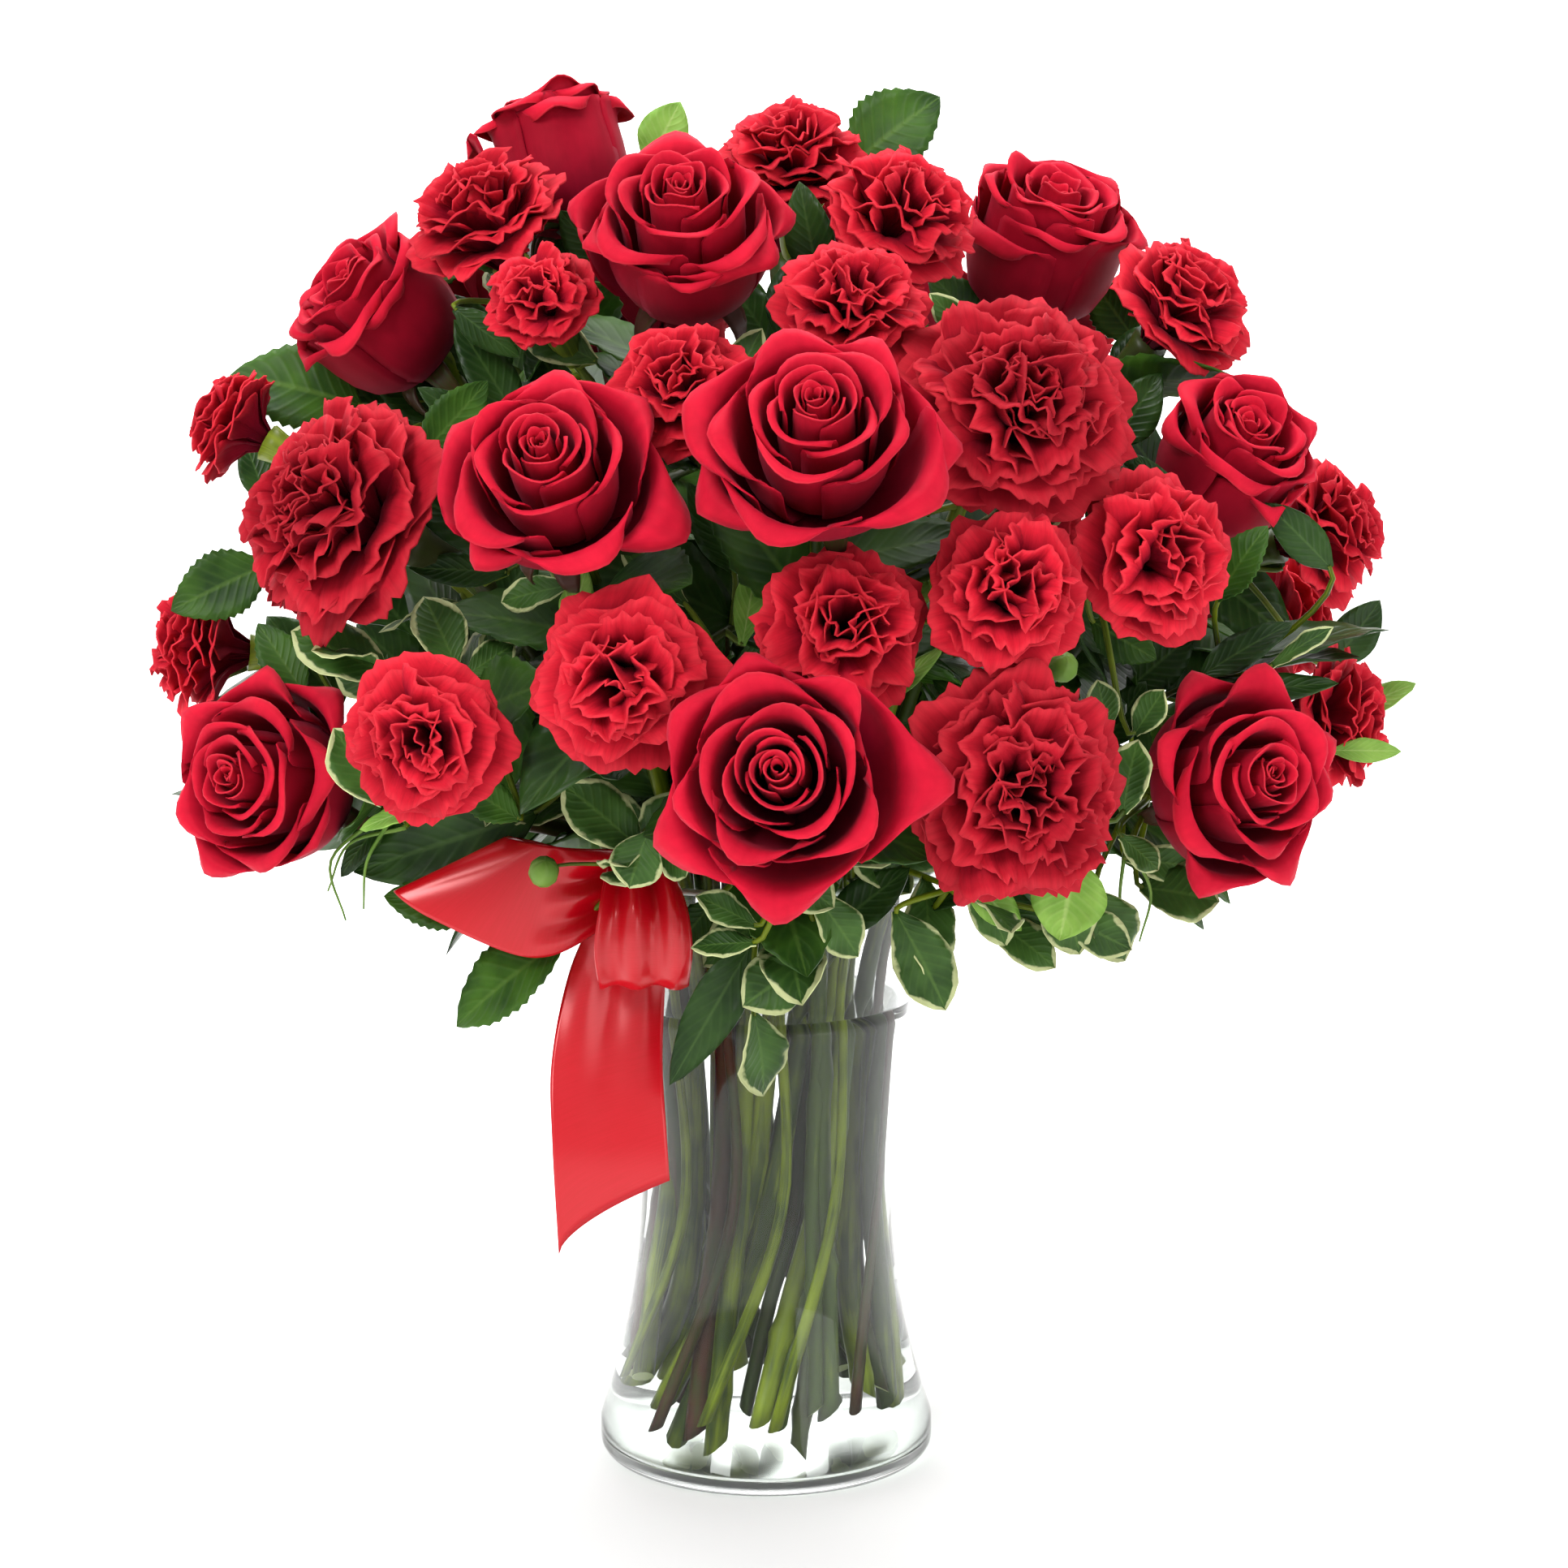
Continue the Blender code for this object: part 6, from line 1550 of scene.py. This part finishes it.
def stem_finish(name, fresh, aged, dark):
    """A stem: the share of the aged colour differs from stem to stem, with streaks along it."""
    made, tree, shader = new_finish(name, Roughness=0.36, Specular_IOR_Level=0.18)
    uv, place, tone = surface_of(tree)
    streak = noise(tree, scaled(tree, uv, (9.0, 3.0, 1.0)), 1.0, 4.0)
    cloud = noise(tree, place, 40.0, 2.0)
    age = spread(tree, math_of(tree, "ADD", math_of(tree, "ADD", streak, cloud), tone), 0.9, 2.1)
    colour = ramp(tree, age, [(0.0, fresh), (0.45, dark), (1.0, aged)])
    tree.links.new(colour, shader.inputs["Base Color"])
    return made


rose_stem = stem_finish("rose_stem", (0.17, 0.22, 0.006), (0.060, 0.020, 0.014), (0.025, 0.045, 0.004))
carnation_stem = stem_finish("carnation_stem", (0.20, 0.26, 0.020), (0.040, 0.046, 0.014),
                             (0.045, 0.075, 0.010))
cut_end = new_finish("cut_end", Roughness=0.6, Base_Color=(0.50, 0.56, 0.26, 1.0))[0]
rose_leaf = leaf_finish("rose_leaf", (0.013, 0.044, 0.005), (0.040, 0.108, 0.009), (0.080, 0.16, 0.025))
pittosporum_leaf = leaf_finish("pittosporum_leaf", (0.018, 0.050, 0.008), (0.046, 0.110, 0.018),
                               (0.08, 0.16, 0.03), (0.42, 0.46, 0.22))
salal_leaf = leaf_finish("salal_leaf", (0.009, 0.028, 0.005), (0.024, 0.062, 0.010), (0.055, 0.11, 0.026),
                         gloss=0.36)
young_leaf = leaf_finish("young_leaf", (0.12, 0.26, 0.03), (0.24, 0.42, 0.07), (0.36, 0.50, 0.15))

# %% [markdown]
# Each bundle and each leafy stalk becomes one piece, with everything that was gathered for it.

# %% Greens in their places
SLOTS = {"rose": "rose_greens", "carnation": "carnation_greens", "pittosporum": "pittosporum_leaves",
         "salal": "salal_leaves"}
green_faces = 0
for group, solids in greens.items():
    kind = group.split("_")[0]
    skin = carnation_stem if kind == "carnation" else rose_stem
    coats = [skin, cut_end, rose_leaf, pittosporum_leaf, salal_leaf, young_leaf]
    piece(group + "_green", solids, coats, SLOTS[kind], [group])
    green_faces += sum(len(faces) * (faces.shape[1] - 2) for solid in solids for faces, _ in solid["faces"])
print("green triangles", green_faces)

# %% [markdown]
# The vase and the water are turned surfaces. The water is drawn a hair wider than the inside of the
# glass: if a gap of air were left between them, light would be thrown back at it and the stems would
# look dark. Seen through the glass, the water magnifies the stems, as it does in the photo. Two stretches
# of the glass have finishes of their own. Seen from behind, a lip of clear glass draws a black line, so it is
# pale and a quarter clear. A smooth underside mirrors the stem ends sharply, so it is slightly rough.

# %% Vase and water
TURN_SIDES = 128
HEEL = 0.0055
WALL_FROM = THIN_FLOOR + 0.0075
OVERLAP = 0.00012


def turned(profile):
    """A closed surface of (radius, height) pairs turned about Z, with a small flat disc at each end."""
    angle = np.linspace(0.0, math.tau, TURN_SIDES, endpoint=False)
    rings = np.stack([profile[:, :1] * np.cos(angle), profile[:, :1] * np.sin(angle),
                      np.tile(profile[:, 1:], TURN_SIDES)], axis=-1)
    run = np.concatenate([[0.0], np.cumsum(np.linalg.norm(np.diff(profile, axis=0), axis=1))])
    return round_solid(rings, angle / math.tau, run * UV_PER_METRE)


def arc(centre, radius, start, end, count):
    """Points on an arc in the (radius, height) plane, from one angle to another in degrees."""
    angle = np.radians(np.linspace(start, end, count))
    return np.stack([centre[0] + radius * np.cos(angle), centre[1] + radius * np.sin(angle)], axis=1)


levels = np.linspace(FOOT_TOP - 0.004, VASE_HEIGHT - 0.5 * GLASS_WALL, 44)
outside = np.stack([vase_radius(levels), levels], axis=1)
inside = np.stack([inner_radius(levels, THIN_FLOOR), levels], axis=1)[::-1]
inside = inside[inside[:, 1] > WALL_FROM]
rim = arc((LIP_RADIUS - 0.5 * GLASS_WALL, VASE_HEIGHT - 0.5 * GLASS_WALL), 0.5 * GLASS_WALL, 10, 170, 7)
heel = arc((FOOT_RADIUS - HEEL, HEEL), HEEL, -90, -8, 9)
corner_ring = float(inner_radius(THIN_FLOOR + CORNER_HIGH, THIN_FLOOR)) - CORNER_IN
corner = arc((corner_ring, THIN_FLOOR + CORNER_IN), CORNER_IN, -6, -90, 9)
flat = np.array([[0.030, THIN_FLOOR], [0.015, THIN_FLOOR], [0.001, THIN_FLOOR]])
under = np.array([[0.001, 0.0012], [0.020, 0.0011], [0.036, 0.0007], [0.044, 0.0002], [0.047, 0.0]])
vase_profile = np.vstack([under, heel, outside, rim, inside, corner, flat])
rim_rows = len(under) + len(heel) + len(outside) + np.array([-1, len(rim)])


def clear_finish(name, tint, bend, mirror, rough=0.0):
    """Clear, bending light by its index; lamps shine straight through it, so that what is inside is lit.

    mirror is the share kept of what it would reflect, and rough blurs what is seen through it.
    """
    made, tree, shader = new_finish(name, Base_Color=(*tint, 1.0), Roughness=rough, IOR=bend,
                                    Transmission_Weight=1.0, Specular_Tint=(mirror, mirror, mirror, 1.0))
    through = add(tree, "ShaderNodeBsdfTransparent", {"Color": (*tint, 1.0)})
    path = add(tree, "ShaderNodeLightPath")
    both = add(tree, "ShaderNodeMixShader", {0: path.outputs["Is Shadow Ray"], 1: shader.outputs["BSDF"],
                                             2: through.outputs["BSDF"]})
    tree.links.new(both.outputs["Shader"], tree.nodes["Material Output"].inputs["Surface"])
    return made


glass = clear_finish("clear_glass", (0.935, 0.955, 0.940), 1.46, 0.35)
water = clear_finish("clear_water", (0.990, 1.000, 0.990), 1.33, 0.5)

wet = levels[(levels > WALL_FROM) & (levels < WATER_LEVEL - 0.002)]
side_wall = np.stack([inner_radius(wet, THIN_FLOOR) + OVERLAP, wet], axis=1)
brim = float(inner_radius(WATER_LEVEL))
surface = np.array([[brim + OVERLAP, WATER_LEVEL], [brim - 0.0010, WATER_LEVEL], [0.020, WATER_LEVEL],
                    [0.001, WATER_LEVEL]])
bottom = corner[::-1] + (OVERLAP, -OVERLAP)
floor_ring = flat[::-1] - (0.0, OVERLAP)
water_profile = np.vstack([floor_ring, bottom, side_wall, surface])
rim_glass = new_finish("rim_glass", Base_Color=(0.74, 0.82, 0.78, 1.0), Roughness=0.12, IOR=1.46,
                       Transmission_Weight=0.25)[0]
under_glass = clear_finish("under_glass", (0.97, 0.98, 0.97), 1.46, 0.35, 0.16)
vase_solid = turned(vase_profile)
(walls, _), (low_end, _), (high_end, _) = vase_solid["faces"]
foot_to, (lip_from, lip_to) = len(under) * TURN_SIDES, rim_rows * TURN_SIDES
vase_solid["faces"] = [(walls[:foot_to], 2), (low_end, 2), (walls[foot_to:lip_from], 0),
                       (walls[lip_from:lip_to], 1), (walls[lip_to:], 0), (high_end, 0)]
piece("vase_clear", [vase_solid], [glass, rim_glass, under_glass], "vase_glass", ["vase"])
piece("water_clear", [turned(water_profile)], [water], "vase_water", ["water"])
print("vase profile", len(vase_profile), "water profile", len(water_profile))

# %% [markdown]
# The bow is one length of satin ribbon, folded into a loop to the left, a loop that hangs in front and a
# tail, and pulled together at the knot. Each run is a grid: its middle line is a smooth curve through a
# few stations, and across it the ribbon keeps its full width. Where it is drawn in to less than its
# width the rest goes into pleats: a wave whose height is what the missing width needs, and which calms
# down where a loop folds over and along the tail.

# %% Ribbon
RIBBON_WIDTH = 0.036
RIBBON_THICK = 0.0004
PLEAT_DEPTH = 0.98
# Stations from the knot on: the place in millimetres from the knot, the way across the ribbon, and the share
# of the ribbon's width that it spans there
LEFT_LOOP = [
    ((0, 0, 0), (0.1, 0, 1), 0.42), ((-15, -9, -5), (0.1, 0, 1), 0.78),
    ((-30, -12, -7), (0.28, 0, 0.96), 1.0), ((-49, -9, -1), (0.78, 0, 0.62), 1.08),
    ((-59, -3, 3), (0.89, 0.1, 0.45), 1.08), ((-55, 4, 1), (0.89, 0.2, 0.45), 1.06),
    ((-36, 5, -5), (0.5, 0.2, 0.86), 0.80), ((-16, 3, -4), (0.2, 0, 1), 0.54),
    ((0, 1, 0), (0.1, 0, 1), 0.42),
]
FRONT_LOOP = [
    ((0, 0, 1), (1, 0, 0), 0.48), ((0, -12, 2), (1, 0, 0), 0.58), ((1, -20, -7), (1, 0, 0), 0.74),
    ((1, -22, -19), (1, 0, 0), 0.83), ((1, -20, -29), (1, 0, 0), 0.78), ((1, -14, -33), (1, 0, 0), 0.74),
    ((0, -8, -26), (1, 0, 0), 0.68), ((0, -2, -9), (1, 0, 0), 0.52), ((0, 0, -2), (1, 0, 0), 0.44),
]
TAIL = [
    ((0, 1, 0), (1, 0, 0), 0.42), ((-3, -3, -12), (1, 0.05, 0), 0.60), ((-8, 0, -32), (1, 0.1, 0), 0.84),
    ((-11, -8, -58), (0.99, 0.1, 0.0), 0.96), ((-10, -16, -82), (0.99, 0.1, 0.0), 0.99),
    ((-8, -18, -117), (0.99, 0.1, 0.0), 1.0),
]
RIBBON_COLUMNS = 33


def ribbon_grid(stations, pleats, crest, calm, slant=0.0):
    """Middle curve + across·width·share·u - normal·cosine of the pleats, as high as the width needs.

    One pleat's crest lies at u = crest. calm says where along the run the pleats sink, over what share of
    it and by how much. slant is the share of the length by which the left edge outruns the right one.
    """
    rows = 10 * (len(stations) - 1) + 1
    keys = np.array([[*place, *unit(np.array(across, dtype=float)), share]
                     for place, across, share in stations])
    u = np.linspace(-0.5, 0.5, RIBBON_COLUMNS)
    fine = through_points(keys, 8 * (rows - 1) + 1)
    reach = np.linspace(0.0, 1.0, rows)[:, None] * (1.0 - slant * (u + 0.5) ** 0.6)
    index = reach * (len(fine) - 1)
    low = np.minimum(index.astype(int), len(fine) - 2)
    rest = (index - low)[..., None]
    values = fine[low] * (1.0 - rest) + fine[low + 1] * rest
    forwards = np.gradient(fine[:, :3], axis=0)
    normals = np.cross(forwards, fine[:, 3:6])
    normals /= np.linalg.norm(normals, axis=1, keepdims=True)
    normal = normals[low] * (1.0 - rest) + normals[low + 1] * rest
    share = np.clip(values[..., 6], 0.2, 1.1)
    wide = RIBBON_WIDTH * share
    missing = np.sqrt(np.clip(1.0 / share - 1.0, 0.0, None))
    wave = -wide / (math.pi * pleats) * missing * PLEAT_DEPTH * np.cos(math.tau * pleats * (u - crest))
    where, over, sunk = calm
    wave = wave * (1.0 - sunk * np.exp(-(((reach - where) / over) ** 2)))
    middles = BOW + MM * values[..., :3]
    return middles + values[..., 3:6] * (wide * u)[..., None] + normal * wave[..., None]


def grid_area(grid):
    """Area of a grid, from the cross products of its steps."""
    steps = np.cross(grid[1:, :-1] - grid[:-1, :-1], grid[:-1, 1:] - grid[:-1, :-1])
    return np.linalg.norm(steps, axis=-1).sum()


def run_length(grid):
    """Length of a grid's middle line."""
    return np.linalg.norm(np.diff(grid[:, grid.shape[1] // 2], axis=0), axis=1).sum()


def satin_finish(name):
    """Satin: fine threads run across the ribbon, and its shine is strong, tinted and stretched one way."""
    made, tree, shader = new_finish(name, Roughness=0.24, Specular_IOR_Level=0.95, Anisotropic=0.5,
                                    Specular_Tint=(1.0, 0.50, 0.50, 1.0))
    thread = noise(tree, scaled(tree, uv_of(tree), (3.0, 260.0, 1.0)), 1.0, 2.0)
    colour = ramp(tree, thread, [(0.3, (0.460, 0.0008, 0.006)), (0.7, (0.490, 0.0012, 0.009))])
    tree.links.new(colour, shader.inputs["Base Color"])
    tangent = add(tree, "ShaderNodeTangent", direction_type="UV_MAP", uv_map="UVMap")
    tree.links.new(tangent.outputs["Tangent"], shader.inputs["Tangent"])
    return made


satin = satin_finish("satin")
# Each run's stations, its number of pleats, where a crest lies, where it is calm, and its slant
runs = {"bow_left_loop": (LEFT_LOOP, 2.6, 0.0, (0.5, 0.2, 0.5), 0.0),
        "bow_front_loop": (FRONT_LOOP, 2.2, 0.13, (0.62, 0.15, 0.62), 0.0),
        "bow_tail": (TAIL, 1.8, 0.0, (1.0, 0.62, 1.0), 0.125)}
for name, (stations, *folds) in runs.items():
    grid = ribbon_grid(stations, *folds)
    made = piece(name, [shells(grid[None], RIBBON_THICK, [1.0])], [satin], "satin_ribbon", ["ribbon_bow"])
    flat_length = run_length(grid)
    area_share = grid_area(grid) / flat_length / RIBBON_WIDTH
    print(name, "length", round(flat_length, 4), "area share", round(area_share, 2))

# %% [markdown]
# The knot is the same ribbon wound tightly round the stalk and the gathered runs: a lump whose surface is
# ridged by the folds that run over it from left to right.

# %% Knot
KNOT_LONG, KNOT_DEEP, KNOT_HIGH = 0.0100, 0.0072, 0.0082
KNOT_FOLDS, FOLD_DEPTH = 6.0, 0.05


def knot_grid(rows=41, columns=48):
    """An ellipsoid whose radius is raised and sunk by folds that run round it."""
    polar, turn = np.meshgrid(np.linspace(0.02, math.pi - 0.02, rows),
                              np.linspace(0.0, math.tau, columns, endpoint=False), indexing="ij")
    fold = 1.0 + FOLD_DEPTH * np.cos(KNOT_FOLDS * polar + 0.6 * np.sin(turn)) * np.sin(polar)
    return BOW + np.stack([KNOT_LONG * np.cos(polar), KNOT_DEEP * np.sin(polar) * np.cos(turn) * fold,
                           KNOT_HIGH * np.sin(polar) * np.sin(turn) * fold], axis=-1)


def closed_round(grid, finish=0):
    """A closed solid from rings (rows, columns, 3) that run round, with a flat end at each side."""
    rows, columns, _ = grid.shape
    number = np.arange(rows * columns).reshape(rows, columns)
    after = np.roll(number, -1, axis=1)
    walls = np.stack([number[:-1], number[1:], after[1:], after[:-1]], axis=-1).reshape(-1, 4)
    uv = np.stack([np.tile(np.linspace(0, 1, columns), (rows, 1)),
                   np.tile(np.linspace(0, 1, rows)[:, None], columns)], axis=-1)
    return dict(points=grid.reshape(-1, 3), uv=uv.reshape(-1, 2), tone=np.ones(rows * columns),
                faces=[(walls, finish), (number[0][None], finish), (number[-1][::-1][None], finish)])


piece("bow_knot", [closed_round(knot_grid())], [satin], "satin_ribbon", ["ribbon_bow"])

# %% [markdown]
# The last step counts the triangles of the drawn pieces.

# %% Size
made_here = [thing.data for thing in bpy.data.objects if thing.type == "MESH" and thing.name not in nodes]
corners = [sum(len(polygon.vertices) - 2 for polygon in mesh.polygons) for mesh in made_here]
print("triangles", sum(corners), "in", len(corners), "pieces, at most", max(corners), "in one")
